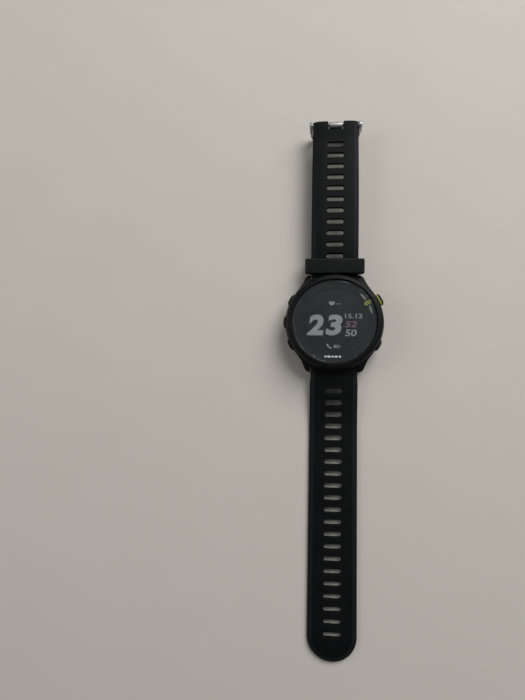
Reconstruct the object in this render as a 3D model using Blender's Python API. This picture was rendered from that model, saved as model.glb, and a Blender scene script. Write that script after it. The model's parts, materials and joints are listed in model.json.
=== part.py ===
"""A GPS running watch: a round polymer case with five push buttons, a glass lens over a
reflective display, a heart-rate sensor and a charging port in the back, and a two-part
silicone strap on quick-release spring bars.

Frame: metres, +Z out of the display, +Y towards twelve o'clock, +X towards three o'clock.
The origin is the middle of the sensor window, which is also the plane the watch rests on.
"""

import math

import bmesh
import bpy
from mathutils import Matrix

MM = 0.001
GAP = 0.1 * MM

# Case
CASE_RADIUS = 21.0 * MM
CASE_BOTTOM = 1.0 * MM
CASE_TOP = 9.0 * MM
CAVITY_RADIUS = 16.2 * MM
CAVITY_HALF = 14.4 * MM
RECESS_RADIUS = 17.6 * MM
RECESS_HALF = 15.3 * MM
LEDGE_Z = 2.4 * MM

# Bezel and lens
LENS_RADIUS = 17.65 * MM
LENS_Z = (10.35 * MM, 11.35 * MM)
BEZEL_TOP = 11.6 * MM
BEZEL_LEDGE_RADIUS = 15.4 * MM

# Back cover, sensor window and charging port
COVER_Z = (0.7 * MM, 2.0 * MM)
PLATEAU_RADIUS = 13.4 * MM
PLATEAU_Z = 0.4 * MM
WINDOW_RADIUS = 6.9 * MM
SCREW_X, SCREW_Y = 11.6 * MM, 10.6 * MM
PORT_Y = -10.6 * MM
PORT_SIZE = (8.0 * MM, 3.4 * MM)
PORT_FACE_Z = 1.1 * MM
CONTACT_PITCH = 1.9 * MM

BOARD_RADIUS = 13.7 * MM
BOARD_Z = (6.6 * MM, 7.2 * MM)

# Buttons: name, angle from three o'clock in degrees
BUTTONS = (
    ("start_button", 27.6),
    ("back_button", -27.6),
    ("light_button", 152.4),
    ("up_button", 180.0),
    ("down_button", 207.6),
)
BUTTON_Z = 6.2 * MM
BUTTON_LENGTH = 5.2 * MM
BUTTON_HEIGHT = 3.0 * MM
CAP_INNER = 20.3 * MM
CAP_OUTER = 21.9 * MM
START_HEAD, START_OUTER = 21.75 * MM, 22.4 * MM
ACCENT_LEVELS = (21.0 * MM, 21.65 * MM)
STEM_INNER = 15.2 * MM
STEM_RADIUS = 0.8 * MM

# Lugs and spring bars
LUG_GAP_HALF = 10.1 * MM
BAR_Y = 18.5 * MM
BAR_Z = 4.3 * MM
LUG_TIP_RADIUS = 2.5 * MM
NOTCH_Y = 16.2 * MM
NOTCH_TOP = 7.6 * MM
LUG_HOLE_DEPTH = 1.4 * MM
TUBE_RADIUS = 0.75 * MM
PIN_RADIUS = 0.4 * MM

# Strap: lengths are distances from the spring bar's axis
STRAP_HALF = 9.9 * MM
EYE_RADIUS = 2.1 * MM
SLOT_FIRST_Y = 29.1 * MM
SLOT_PITCH = 5.0 * MM
SLOT_LENGTH = 7.2 * MM
SLOT_WIDTH = 2.0 * MM
UPPER_SLOTS, LOWER_SLOTS = 11, 21
UPPER_JOINTS = (46.5 * MM, 66.5 * MM)
LOWER_JOINTS = (46.5 * MM, 76.5 * MM, 106.5 * MM)
JOINT_GAP = 0.3 * MM
LOWER_END_Y = 139.8 * MM
BUCKLE_Y = 88.2 * MM
KNUCKLE_RADIUS = 1.7 * MM
UPPER_RISE, UPPER_SETTLE = 4.6 * MM, 12.0 * MM
LOWER_DROP = 27.0 * MM

# Buckle and keeper
FRAME_HALF = 11.5 * MM
FRAME_INNER = 10.15 * MM
LEG_HALF = 11.1 * MM
FRAME_END = 8.95 * MM
FRAME_BAR = 2.1 * MM
FRAME_THICK = 2.2 * MM
FRAME_ROUND = 0.4 * MM
PIVOT_BAR_RADIUS = 0.7 * MM
TANG_HALF = 2.6 * MM
NOTCH_HALF = 3.0 * MM
KEEPER_Y = 25.0 * MM
KEEPER_TILT = math.radians(11)
KEEPER_OUTSIDE = (25.6 * MM, 8.6 * MM)
KEEPER_INSIDE = (21.0 * MM, 5.6 * MM)
KEEPER_HALF_WIDTH = 3.2 * MM
TANG_HANG = math.radians(13)

MATERIALS = {
    "case_polymer": ((0.016, 0.017, 0.018), 0.55, 0.0),
    "bezel_polymer": ((0.018, 0.019, 0.020), 0.5, 0.0),
    "strap_silicone": ((0.012, 0.013, 0.014), 0.65, 0.0),
    "lens_glass": ((0.022, 0.026, 0.028), 0.12, 0.0),
    "window_glass": ((0.01, 0.01, 0.012), 0.1, 0.0),
    "accent": ((0.52, 0.56, 0.06), 0.5, 0.0),
    "steel": ((0.6, 0.6, 0.59), 0.28, 1.0),
    "gold": ((0.8, 0.6, 0.25), 0.3, 1.0),
    "seal_rubber": ((0.03, 0.03, 0.03), 0.8, 0.0),
    "circuit": ((0.02, 0.12, 0.06), 0.5, 0.0),
    "cell_wrap": ((0.35, 0.35, 0.37), 0.45, 0.0),
}


# ---------------------------------------------------------------- making shapes


def clear_scene():
    for obj in list(bpy.data.objects):
        bpy.data.objects.remove(obj)


def material(name):
    made = bpy.data.materials.get(name)
    if made:
        return made
    colour, roughness, metallic = MATERIALS[name]
    made = bpy.data.materials.new(name)
    made.use_nodes = True
    shader = made.node_tree.nodes["Principled BSDF"]
    shader.inputs["Base Color"].default_value = (*colour, 1.0)
    shader.inputs["Roughness"].default_value = roughness
    shader.inputs["Metallic"].default_value = metallic
    return made


def add(name, bm, finish=None, matrix=None):
    """Makes an object from a bmesh. One with no finish is a cutter, and isn't rendered."""
    bmesh.ops.recalc_face_normals(bm, faces=bm.faces[:])
    mesh = bpy.data.meshes.new(name)
    bm.to_mesh(mesh)
    bm.free()
    mesh.shade_smooth()
    mesh.set_sharp_from_angle(angle=math.radians(35))
    obj = bpy.data.objects.new(name, mesh)
    bpy.context.scene.collection.objects.link(obj)
    if matrix is not None:
        obj.matrix_world = matrix
    if finish:
        mesh.materials.append(material(finish))
    else:
        obj.hide_render = True
        obj.display_type = "WIRE"
    return obj


def loft(rings, closed=False):
    """A body through rings of points: the last joins the first, or each end has a flat cap."""
    bm = bmesh.new()
    rows = [[bm.verts.new(point) for point in points] for points in rings]
    count = len(rows[0])
    nexts = rows[1:] + rows[:1] if closed else rows[1:]
    for low, high in zip(rows, nexts):
        for i in range(count):
            j = (i + 1) % count
            bm.faces.new((low[i], low[j], high[j], high[i]))
    if not closed:
        bm.faces.new(rows[0])
        bm.faces.new(rows[-1])
    return bm


def prism(outline, low, high):
    """An outline in X and Y, extruded from low to high along Z."""
    return loft([[(x, y, z) for x, y in outline] for z in (low, high)])


def side_prism(outline, low, high):
    """An outline in Y and Z, extruded from low to high along X."""
    return loft([[(x, y, z) for y, z in outline] for x in (low, high)])


def box(low, high):
    (x0, y0, z0), (x1, y1, z1) = low, high
    return prism([(x0, y0), (x1, y0), (x1, y1), (x0, y1)], z0, z1)


def circle(radius, z, segments):
    """Points round Z, half a step away from the X axis."""
    angles = [math.tau * (i + 0.5) / segments for i in range(segments)]
    return [(radius * math.cos(a), radius * math.sin(a), z) for a in angles]


def turned(profile, segments):
    """A solid turned about Z from (radius, height) points, closed by a flat cap at each end."""
    return loft([circle(radius, z, segments) for radius, z in profile])


def rod(radius, low, high, segments=12):
    return turned([(radius, low), (radius, high)], segments)


def turned_ring(profile, segments):
    """A ring turned about Z from a closed (radius, height) profile."""
    return loft([circle(radius, z, segments) for radius, z in profile], closed=True)


def ring(inner, outer, low, high, segments=48):
    return turned_ring([(inner, low), (outer, low), (outer, high), (inner, high)], segments)


def along_x(y=0.0, z=0.0):
    """Turns a shape's Z axis to +X and moves it to a line at this Y and Z."""
    return Matrix.Translation((0, y, z)) @ Matrix.Rotation(math.pi / 2, 4, "Y")


def radial(degrees, z):
    """Turns a shape's Z axis to point outwards from the case at this angle, at height z."""
    turn = Matrix.Rotation(math.radians(degrees), 4, "Z")
    return Matrix.Translation((0, 0, z)) @ turn @ Matrix.Rotation(math.pi / 2, 4, "Y")


def flattened_circle(radius, half, count=48):
    """A circle whose top and bottom are cut off flat at half."""
    return [(x, max(-half, min(half, y))) for x, y, _ in circle(radius, 0, count)]


def rounded_rectangle(width, height, radius, steps=3):
    points = []
    for quarter, (sx, sy) in enumerate(((1, 1), (-1, 1), (-1, -1), (1, -1))):
        for i in range(steps + 1):
            angle = math.pi / 2 * (quarter + i / steps)
            x = sx * (width / 2 - radius) + radius * math.cos(angle)
            y = sy * (height / 2 - radius) + radius * math.sin(angle)
            points.append((x, y))
    return points


def joined(*parts):
    """Several cutters as one mesh. Each is a bmesh, or a bmesh and the matrix that places it."""
    out = bmesh.new()
    for part in parts:
        bm, matrix = part if isinstance(part, tuple) else (part, Matrix.Identity(4))
        bm.transform(matrix)
        mesh = bpy.data.meshes.new("part")
        bm.to_mesh(mesh)
        bm.free()
        out.from_mesh(mesh)
        bpy.data.meshes.remove(mesh)
    return out


def combine(obj, operation, name, bm):
    """Cuts from obj, adds to it, or keeps what it shares with the shape in bm."""
    other = add(name, bm)
    step = obj.modifiers.new(name, "BOOLEAN")
    step.operation = operation
    step.solver = "EXACT"
    step.object = other
    return obj


def cut(obj, name, bm):
    return combine(obj, "DIFFERENCE", name, bm)


def join(obj, name, bm):
    return combine(obj, "UNION", name, bm)


# ---------------------------------------------------------------- the case


def lug_side():
    """One lug seen from the side, reaching from inside the case to its round tip."""
    points = [(12.0 * MM, 2.0 * MM), (17.0 * MM, 1.9 * MM)]
    for i in range(9):
        angle = math.radians(-100 + 22.0 * i)
        points.append((BAR_Y + LUG_TIP_RADIUS * math.cos(angle), BAR_Z + LUG_TIP_RADIUS * math.sin(angle)))
    return points + [(15.6 * MM, 8.2 * MM), (12.0 * MM, 8.4 * MM)]


def lug_plan(side, end):
    """One lug seen from above: straight inside, a hollow curve outside."""
    outer = [(17.6, 10.5), (15.9, 13.4), (14.5, 15.5), (13.4, 17.7)]
    outer += [(12.7, 19.5), (12.1, 20.7), (11.2, 21.4)]
    inner = [(10.1, 21.4), (10.1, 12.0), (12.0, 9.0)]
    return [(side * x * MM, end * y * MM) for x, y in outer + inner]


def make_mid_case():
    profile = [
        (18.6 * MM, CASE_BOTTOM),
        (20.3 * MM, 2.4 * MM),
        (CASE_RADIUS, 4.0 * MM),
        (CASE_RADIUS, 6.8 * MM),
        (20.8 * MM, 8.2 * MM),
        (20.5 * MM, CASE_TOP),
    ]
    case = add("mid_case", turned(profile, 64), "case_polymer")
    lugs = []
    for side in (-1, 1):
        for end in (-1, 1):
            lug = add("lug_plan", prism(lug_plan(side, end), 1.2 * MM, 8.6 * MM))
            outline = [(end * y, z) for y, z in lug_side()]
            low, high = sorted((side * 9.0 * MM, side * 18.0 * MM))
            combine(lug, "INTERSECT", "lug_side", side_prism(outline, low, high))
            lugs.append(lug)
    for lug in lugs:
        step = case.modifiers.new("lug", "BOOLEAN")
        step.operation = "UNION"
        step.solver = "EXACT"
        step.object = lug
    cavity = prism(flattened_circle(CAVITY_RADIUS, CAVITY_HALF), 2.0 * MM, 9.5 * MM)
    cut(case, "cavity", cavity)
    places = [(sx * SCREW_X, sy * SCREW_Y) for sx in (-1, 1) for sy in (-1, 1)]
    bosses = [(rod(1.9 * MM, 1.7 * MM, 5.0 * MM), Matrix.Translation((x, y, 0))) for x, y in places]
    join(case, "screw_bosses", joined(*bosses))
    cut(case, "cover_recess", prism(flattened_circle(RECESS_RADIUS, RECESS_HALF), 0.2 * MM, LEDGE_Z))
    holes = [(rod(0.85 * MM, 2.0 * MM, 4.7 * MM), Matrix.Translation((x, y, 0))) for x, y in places]
    cut(case, "screw_holes", joined(*holes))
    notches = []
    for end in (-1, 1):
        low, high = sorted((end * NOTCH_Y, end * 24.0 * MM))
        notches.append(box((-LUG_GAP_HALF, low, 0), (LUG_GAP_HALF, high, NOTCH_TOP)))
    cut(case, "strap_notches", joined(*notches))
    reach = LUG_GAP_HALF + LUG_HOLE_DEPTH
    bar_holes = [(rod(0.5 * MM, -reach, reach), along_x(end * BAR_Y, BAR_Z)) for end in (-1, 1)]
    cut(case, "bar_holes", joined(*bar_holes))
    pocket = rounded_rectangle(BUTTON_HEIGHT + 0.3 * MM, BUTTON_LENGTH + 0.3 * MM, 1.2 * MM)
    for _, angle in BUTTONS:
        place = radial(angle, BUTTON_Z)
        cut(case, "button_pocket", joined((prism(pocket, 19.6 * MM, 23.0 * MM), place)))
        cut(case, "button_bore", joined((rod(STEM_RADIUS + 0.15 * MM, 12.5 * MM, 19.8 * MM), place)))
    return case


def make_bezel_and_lens():
    profile = [
        (BEZEL_LEDGE_RADIUS, CASE_TOP + GAP),
        (20.4 * MM, CASE_TOP + GAP),
        (20.2 * MM, 10.5 * MM),
        (19.7 * MM, 11.2 * MM),
        (18.8 * MM, BEZEL_TOP),
        (LENS_RADIUS + 0.35 * MM, BEZEL_TOP),
        (LENS_RADIUS + 0.15 * MM, 11.4 * MM),
        (LENS_RADIUS + 0.15 * MM, 10.05 * MM),
        (BEZEL_LEDGE_RADIUS, 10.05 * MM),
    ]
    add("bezel", turned_ring(profile, 64), "bezel_polymer")
    low, high = LENS_Z
    edge = 0.3 * MM
    glass = [(LENS_RADIUS, low), (LENS_RADIUS, high - edge), (LENS_RADIUS - edge, high)]
    add("lens", turned(glass, 64), "lens_glass")
    add("lens_gasket", ring(15.6 * MM, 17.5 * MM, 10.13 * MM, 10.27 * MM), "seal_rubber")


def make_back_cover():
    plate = prism(flattened_circle(RECESS_RADIUS - 0.15 * MM, RECESS_HALF - 0.15 * MM), *COVER_Z)
    cover = add("back_cover", plate, "case_polymer")
    chamfer = 0.4 * MM
    plateau = [
        (PLATEAU_RADIUS - chamfer, PLATEAU_Z),
        (PLATEAU_RADIUS, PLATEAU_Z + chamfer),
        (PLATEAU_RADIUS, 1.5 * MM),
    ]
    join(cover, "plateau", turned(plateau, 40))
    cut(cover, "window_hole", rod(WINDOW_RADIUS + 0.15 * MM, 0, 3 * MM, 40))
    width, height = PORT_SIZE
    opening = rounded_rectangle(width + 0.3 * MM, height + 0.3 * MM, 0.9 * MM)
    cut(cover, "port_hole", prism([(x, y + PORT_Y) for x, y in opening], 0, 3 * MM))
    holes = []
    for sx in (-1, 1):
        for sy in (-1, 1):
            place = Matrix.Translation((sx * SCREW_X, sy * SCREW_Y, 0))
            steps = [(1.65, 0.2), (1.65, 1.35), (0.9, 1.35), (0.9, 3.0)]
            holes.append((turned([(r * MM, z * MM) for r, z in steps], 12), place))
    cut(cover, "screw_counterbores", joined(*holes))
    seal = prism(flattened_circle(17.3 * MM, 15.05 * MM), 2.08 * MM, LEDGE_Z - 0.07 * MM)
    gasket = add("back_cover_gasket", seal, "seal_rubber")
    cut(gasket, "gasket_inside", prism(flattened_circle(16.5 * MM, 14.6 * MM), 1.5 * MM, 3 * MM))


def make_screws():
    for i, (sx, sy) in enumerate(((1, 1), (-1, 1), (-1, -1), (1, -1)), start=1):
        steps = [(1.5, 0.85), (1.5, 1.25), (0.75, 1.25), (0.75, 4.2)]
        shape = turned([(r * MM, z * MM) for r, z in steps], 12)
        place = Matrix.Translation((sx * SCREW_X, sy * SCREW_Y, 0))
        screw = add(f"back_cover_screw_{i}", shape, "steel", place)
        cut(screw, "driver_socket", joined((rod(0.7 * MM, 0.5 * MM, 1.1 * MM, 6), place)))


def make_sensor():
    steps = [
        (WINDOW_RADIUS - 0.9 * MM, 0),
        (WINDOW_RADIUS - 0.3 * MM, 0.12 * MM),
        (WINDOW_RADIUS, 0.4 * MM),
        (WINDOW_RADIUS, 1.6 * MM),
        (5.6 * MM, 1.6 * MM),
        (5.6 * MM, 0.8 * MM),
    ]
    add("sensor_window", turned(steps, 32), "window_glass")
    board = add("sensor_board", rod(6.3 * MM, 1.7 * MM, 2.1 * MM, 24), "circuit")
    lights = []
    for i in range(3):
        angle = math.radians(90 + 120 * i)
        x, y, half = 1.5 * MM * math.cos(angle), 1.5 * MM * math.sin(angle), 0.6 * MM
        lights.append(box((x - half, y - half, 1.05 * MM), (x + half, y + half, 1.75 * MM)))
    for side in (-1, 1):
        x = side * 3.9 * MM
        lights.append(box((x - 0.8 * MM, -1.1 * MM, 1.2 * MM), (x + 0.8 * MM, 1.1 * MM, 1.75 * MM)))
    join(board, "lights_and_photodiodes", joined(*lights))


def make_charging_port():
    outline = [(x, y + PORT_Y) for x, y in rounded_rectangle(*PORT_SIZE, 0.8 * MM)]
    port = add("charging_port", prism(outline, PORT_FACE_Z, 2.0 * MM), "case_polymer")
    places = [Matrix.Translation(((i - 1.5) * CONTACT_PITCH, PORT_Y, 0)) for i in range(4)]
    cut(port, "contact_holes", joined(*[(rod(0.55 * MM, 0.5 * MM, 3 * MM), p) for p in places]))
    for i, place in enumerate(places, start=1):
        add(f"charging_contact_{i}", rod(0.45 * MM, PORT_FACE_Z + 0.05 * MM, 2.6 * MM), "gold", place)


def make_inside():
    """The display on its frame, and the electronics on and under the main board."""
    add("display_panel", rod(14.3 * MM, 9.25 * MM, 10.0 * MM, 40), "lens_glass")
    plate = prism(flattened_circle(15.3 * MM, 14.1 * MM, 36), 8.35 * MM, 8.85 * MM)
    frame = add("display_frame", plate, "case_polymer")
    cut(frame, "flex_window", rod(9.0 * MM, 8 * MM, 9.2 * MM, 24))
    low, high = BOARD_Z
    add("main_board", rod(BOARD_RADIUS, low, high, 32), "circuit")
    on_board = high + GAP
    add("shield_can", box((-10 * MM, -7 * MM, on_board), (1.5 * MM, 7 * MM, 8.2 * MM)), "steel")
    beside_shield = Matrix.Translation((6.4 * MM, 5 * MM, 0))
    add("beeper", rod(3.4 * MM, on_board, 7.9 * MM, 20), "gold", beside_shield)
    add("battery", box((-9.4 * MM, -10 * MM, 3.2 * MM), (4.6 * MM, 10 * MM, 6.2 * MM)), "cell_wrap")
    beside_battery = Matrix.Translation((9.4 * MM, 0, 0))
    add("vibration_motor", rod(3.9 * MM, 3.4 * MM, 6.2 * MM, 20), "steel", beside_battery)
    make_display_flex(on_board)
    make_antenna()


def make_display_flex(low):
    """A strip folded into a C, from the board up to the display."""
    near, far, high, thick = 4.6 * MM, 7.0 * MM, 9.15 * MM, 0.2 * MM
    fold = [(near, low), (far, low), (far, low + thick), (near + thick, low + thick)]
    fold += [(near + thick, high - thick), (far, high - thick), (far, high), (near, high)]
    strip = loft([[(x, y, z) for x, z in fold] for y in (-6 * MM, -2 * MM)])
    add("display_flex", strip, "circuit")


def make_antenna():
    """A curved strip standing inside the case at three o'clock."""
    inner, outer, half_angle, steps = 15.55 * MM, 15.9 * MM, 14, 6
    angles = [math.radians(half_angle * (2 * i / steps - 1)) for i in range(steps + 1)]
    outline = [(outer * math.cos(a), outer * math.sin(a)) for a in angles]
    outline += [(inner * math.cos(a), inner * math.sin(a)) for a in reversed(angles)]
    add("gnss_antenna", prism(outline, 7.6 * MM, 8.8 * MM), "gold")


def crowned(face, low, high):
    """A button's cap, with its edge chamfered at the top."""
    chamfer, narrowing = 0.2 * MM, 0.9
    levels = ((low, 1.0), (high - chamfer, 1.0), (high, narrowing))
    return loft([[(x * scale, y * scale, z) for x, y in face] for z, scale in levels])


def make_buttons():
    face = rounded_rectangle(BUTTON_HEIGHT, BUTTON_LENGTH, 1.1 * MM)
    neck = rounded_rectangle(BUTTON_HEIGHT - 0.8 * MM, BUTTON_LENGTH - 0.8 * MM, 0.8 * MM)
    for name, angle in BUTTONS:
        place = radial(angle, BUTTON_Z)
        stem = rod(STEM_RADIUS, STEM_INNER, CAP_INNER + 0.4 * MM)
        if name == "start_button":
            button = add(name, crowned(face, START_HEAD, START_OUTER), "case_polymer", place)
            join(button, "button_neck", joined((prism(neck, CAP_INNER, START_HEAD + GAP), place)))
            collar = rounded_rectangle(BUTTON_HEIGHT - 0.1 * MM, BUTTON_LENGTH - 0.1 * MM, 1.05 * MM)
            accent = add("start_button_accent", prism(collar, *ACCENT_LEVELS), "accent", place)
            inside = rounded_rectangle(BUTTON_HEIGHT - 0.6 * MM, BUTTON_LENGTH - 0.6 * MM, 0.9 * MM)
            cut(accent, "accent_inside", joined((prism(inside, 20.0 * MM, 22.0 * MM), place)))
        else:
            button = add(name, crowned(face, CAP_INNER, CAP_OUTER), "case_polymer", place)
        join(button, "button_stem", joined((stem, place)))
        groove_low, groove_high, slack = 15.5 * MM, 15.8 * MM, 0.05 * MM
        groove = ring(0.6 * MM, 1.2 * MM, groove_low, groove_high, 12)
        cut(button, "clip_groove", joined((groove, place)))
        clip = ring(0.68 * MM, 1.4 * MM, groove_low + slack, groove_high - slack, 12)
        add(f"{name}_clip", clip, "steel", place)
        switch = prism(rounded_rectangle(2.2 * MM, 3.2 * MM, 0.3 * MM, 1), BOARD_RADIUS + GAP, 14.5 * MM)
        add(name.replace("button", "switch"), switch, "steel", place)


# ---------------------------------------------------------------- the strap


def upper_height(y):
    """Height of the upper strap's middle surface: it rises from the lugs and levels off."""
    return BAR_Z + UPPER_RISE * (1 - math.exp(-(y - BAR_Y) / UPPER_SETTLE))


def thickness(y):
    """The strap is thick at the lugs and thins towards its end."""
    d = y - BAR_Y
    near, far = 3.4 * MM, 2.3 * MM
    return far + (near - far) * max(0.0, 1 - d / (32 * MM)) ** 1.5


def lower_height(y):
    """Height of the lower strap's middle surface: it falls from the lugs to lie flat."""
    u = min(1.0, (y - BAR_Y) / LOWER_DROP)
    smooth = u * u * (3 - 2 * u)
    return BAR_Z + (thickness(y) / 2 - BAR_Z) * smooth


def strap_section(half, y, middle, thick, end):
    """One cross-section: flat below, with sloping shoulders above."""
    crest, shoulder = half * 0.55, half - 1.9 * MM * half / STRAP_HALF
    outline = [
        (-half + 0.3 * MM, -0.5),
        (half - 0.3 * MM, -0.5),
        (half, -0.36),
        (half, 0.1),
        (shoulder, 0.42),
        (crest, 0.5),
        (-crest, 0.5),
        (-shoulder, 0.42),
        (-half, 0.1),
        (-half, -0.36),
    ]
    return [(x, end * y, middle + h * thick) for x, h in outline]


def strap_piece(name, stations, height, end, pivot):
    """One length of strap. Its origin is on its hinge, at the (distance, height) of pivot."""
    origin = Matrix.Translation((0, end * pivot[0], pivot[1]))
    rings = [strap_section(half, y, height(y), thickness(y), end) for y, half in stations]
    shape = loft(rings)
    shape.transform(origin.inverted())
    return add(name, shape, "strap_silicone", origin)


def bend(y, height):
    """Where one length of strap bends on the last: on its underside."""
    return y, height(y) - thickness(y) / 2


def slot_cutters(low, high, count, end):
    """The slots whose middles lie between low and high."""
    straight, radius = SLOT_LENGTH / 2 - SLOT_WIDTH / 2, SLOT_WIDTH / 2
    angles = [math.radians(-90 + 45 * k) for k in range(5)]
    half = [(straight + radius * math.cos(a), radius * math.sin(a)) for a in angles]
    outline = half + [(-x, -y) for x, y in half]
    middles = [SLOT_FIRST_Y + i * SLOT_PITCH for i in range(count)]
    cutters = []
    for middle in middles:
        if low < middle < high:
            slot = [(x, end * middle + y) for x, y in outline]
            cutters.append(prism(slot, -2 * MM, 14 * MM))
    return joined(*cutters)


def stations_between(low, high, count):
    return [(low + (high - low) * i / count, STRAP_HALF) for i in range(count + 1)]


def make_strap_root(name, height, end, first_joint, slots):
    """The piece at the lugs, with the eye that holds the spring bar and the slot of its lever."""
    stations = stations_between(BAR_Y + 0.4 * MM, first_joint - JOINT_GAP / 2, 8)
    strap = strap_piece(name, stations, height, end, (BAR_Y, BAR_Z))
    axis = along_x(end * BAR_Y, BAR_Z)
    join(strap, "eye", joined((rod(EYE_RADIUS, -STRAP_HALF + 0.02 * MM, STRAP_HALF - 0.02 * MM, 20), axis)))
    cut(strap, "bar_bore", joined((rod(TUBE_RADIUS + GAP, -12 * MM, 12 * MM), axis)))
    low, high = (3.1 * MM, end * BAR_Y - 0.65 * MM, 0), (6.5 * MM, end * BAR_Y + 0.65 * MM, BAR_Z)
    cut(strap, "lever_slot", box(low, high))
    cut(strap, "slots", slot_cutters(BAR_Y, first_joint, slots, end))


def make_spring_bar(prefix, end):
    """The tube with its fixed tip, and the sprung pin with the lever that draws it in."""
    axis = along_x(end * BAR_Y, BAR_Z)
    inner, low, high = 0.5 * MM, -9.7 * MM, 9.7 * MM
    steps = [
        (PIN_RADIUS, -11.2 * MM),
        (PIN_RADIUS, low),
        (TUBE_RADIUS, low),
        (TUBE_RADIUS, high),
        (inner, high),
        (inner, 2.6 * MM),
    ]
    tube = add(f"{prefix}_spring_bar", turned(steps, 12), "steel", axis)
    y, half_slit, half_lever = end * BAR_Y, 0.45 * MM, 0.32 * MM
    slit = box((3.2 * MM, y - half_slit, BAR_Z - 2 * MM), (6.4 * MM, y + half_slit, BAR_Z))
    cut(tube, "lever_slit", slit)
    pin = add(f"{prefix}_release_pin", rod(PIN_RADIUS, 4.6 * MM, 11.2 * MM), "steel", axis)
    lever = box((4.9 * MM, y - half_lever, BAR_Z - 2 * MM), (6.0 * MM, y + half_lever, BAR_Z + GAP))
    join(pin, "lever", lever)


def make_upper_strap():
    make_strap_root("upper_strap_1", upper_height, 1, UPPER_JOINTS[0], UPPER_SLOTS)
    low, high = UPPER_JOINTS
    stations = stations_between(low + JOINT_GAP / 2, high - JOINT_GAP / 2, 4)
    middle = strap_piece("upper_strap_2", stations, upper_height, 1, bend(low, upper_height))
    cut(middle, "slots", slot_cutters(low, high, UPPER_SLOTS, 1))
    stations = stations_between(high + JOINT_GAP / 2, BUCKLE_Y, 4)
    last = strap_piece("upper_strap_3", stations, upper_height, 1, bend(high, upper_height))
    pivot = along_x(BUCKLE_Y, upper_height(BUCKLE_Y))
    knuckle = rod(KNUCKLE_RADIUS, -STRAP_HALF + 0.02 * MM, STRAP_HALF - 0.02 * MM, 20)
    join(last, "knuckle", joined((knuckle, pivot)))
    notch_floor = BUCKLE_Y + KNUCKLE_RADIUS - 3.3 * MM
    cut(last, "tang_notch", box((-NOTCH_HALF, notch_floor, 4 * MM), (NOTCH_HALF, 95 * MM, 14 * MM)))
    cut(last, "pivot_bore", joined((rod(PIVOT_BAR_RADIUS + 0.15 * MM, -12 * MM, 12 * MM), pivot)))
    cut(last, "slots", slot_cutters(high, BUCKLE_Y, UPPER_SLOTS, 1))


def make_lower_strap():
    make_strap_root("lower_strap_1", lower_height, -1, LOWER_JOINTS[0], LOWER_SLOTS)
    edges = LOWER_JOINTS + (LOWER_END_Y,)
    for i, (low, high) in enumerate(zip(edges, edges[1:]), start=2):
        if high < LOWER_END_Y:
            stations = stations_between(low + JOINT_GAP / 2, high - JOINT_GAP / 2, 1)
        else:
            stations = [(low + JOINT_GAP / 2, STRAP_HALF), (high - STRAP_HALF, STRAP_HALF)]
            for degrees in (18, 35, 50, 63, 74, 83):
                angle = math.radians(degrees)
                stations.append((high - STRAP_HALF * (1 - math.sin(angle)), STRAP_HALF * math.cos(angle)))
        piece = strap_piece(f"lower_strap_{i}", stations, lower_height, -1, bend(low, lower_height))
        cut(piece, "slots", slot_cutters(low, high, LOWER_SLOTS, -1))


# ---------------------------------------------------------------- buckle and keeper


def buckle_lean():
    """How far the frame hangs below level, so that its far bar just reaches the resting plane."""
    drop = upper_height(BUCKLE_Y) - FRAME_ROUND
    reach, offset = FRAME_END - FRAME_ROUND, FRAME_THICK / 2 - FRAME_ROUND
    return math.asin(drop / math.hypot(reach, offset)) - math.atan2(offset, reach)


def buckle_place():
    """The frame is modelled pointing along +Y from its pivot, then folded down and back."""
    pivot = Matrix.Translation((0, BUCKLE_Y, upper_height(BUCKLE_Y)))
    return pivot @ Matrix.Rotation(-(math.pi - buckle_lean()), 4, "X")


def corner(x, y, radius, steps):
    """A rounded corner, from straight up at x to straight across at y."""
    angles = [math.pi / 2 * i / steps for i in range(steps + 1)]
    return [(x - radius * (1 - math.cos(a)), y - radius * (1 - math.sin(a))) for a in angles]


def frame_outline():
    """A U of two legs and a far bar, open towards the pivot."""
    outer = [(LEG_HALF, 0)] + corner(LEG_HALF, FRAME_END, 4.2 * MM, 5)
    inner = [(FRAME_INNER, 0)] + corner(FRAME_INNER, FRAME_END - FRAME_BAR, 1.6 * MM, 3)
    mirrored = [(-x, y) for x, y in reversed(outer)]
    return outer + mirrored + [(-x, y) for x, y in inner] + list(reversed(inner))


def make_buckle():
    place = buckle_place()
    frame = add("buckle_frame", prism(frame_outline(), -FRAME_THICK / 2, FRAME_THICK / 2), "steel", place)
    bevel = frame.modifiers.new("rounded_edges", "BEVEL")
    bevel.width = FRAME_ROUND
    bevel.segments = 2
    bevel.limit_method = "ANGLE"
    bevel.angle_limit = math.radians(50)
    legs = []
    for side in (-1, 1):
        low, high = sorted((side * (FRAME_INNER + 0.01 * MM), side * (FRAME_HALF - 0.01 * MM)))
        legs.append((rod(1.9 * MM, low, high, 20), place @ along_x()))
    join(frame, "leg_bosses", joined(*legs))
    cut(frame, "bar_holes", joined((rod(PIVOT_BAR_RADIUS + GAP, -13 * MM, 13 * MM), place @ along_x())))
    add("buckle_bar", rod(PIVOT_BAR_RADIUS, -11.3 * MM, 11.3 * MM), "steel", place @ along_x())
    under = [(0.5, -0.3), (2.2, 0.1), (6.4, 1.2), (8.2, 1.2), (8.5, 1.4), (8.5, 1.6)]
    over = [(8.2, 2.0), (6.0, 2.1), (2.6, 1.25), (0.3, 1.2)]
    side = [(y * MM, z * MM) for y, z in under + over]
    blade = side_prism(side, -TANG_HALF + 0.1 * MM, TANG_HALF - 0.1 * MM)
    hanging = place @ Matrix.Rotation(TANG_HANG, 4, "X")
    tang = add("buckle_tang", blade, "steel", hanging)
    join(tang, "tang_root", joined((rod(1.25 * MM, -TANG_HALF, TANG_HALF, 20), hanging @ along_x())))
    cut(tang, "tang_bore", joined((rod(PIVOT_BAR_RADIUS + GAP, -4 * MM, 4 * MM), hanging @ along_x())))


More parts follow.
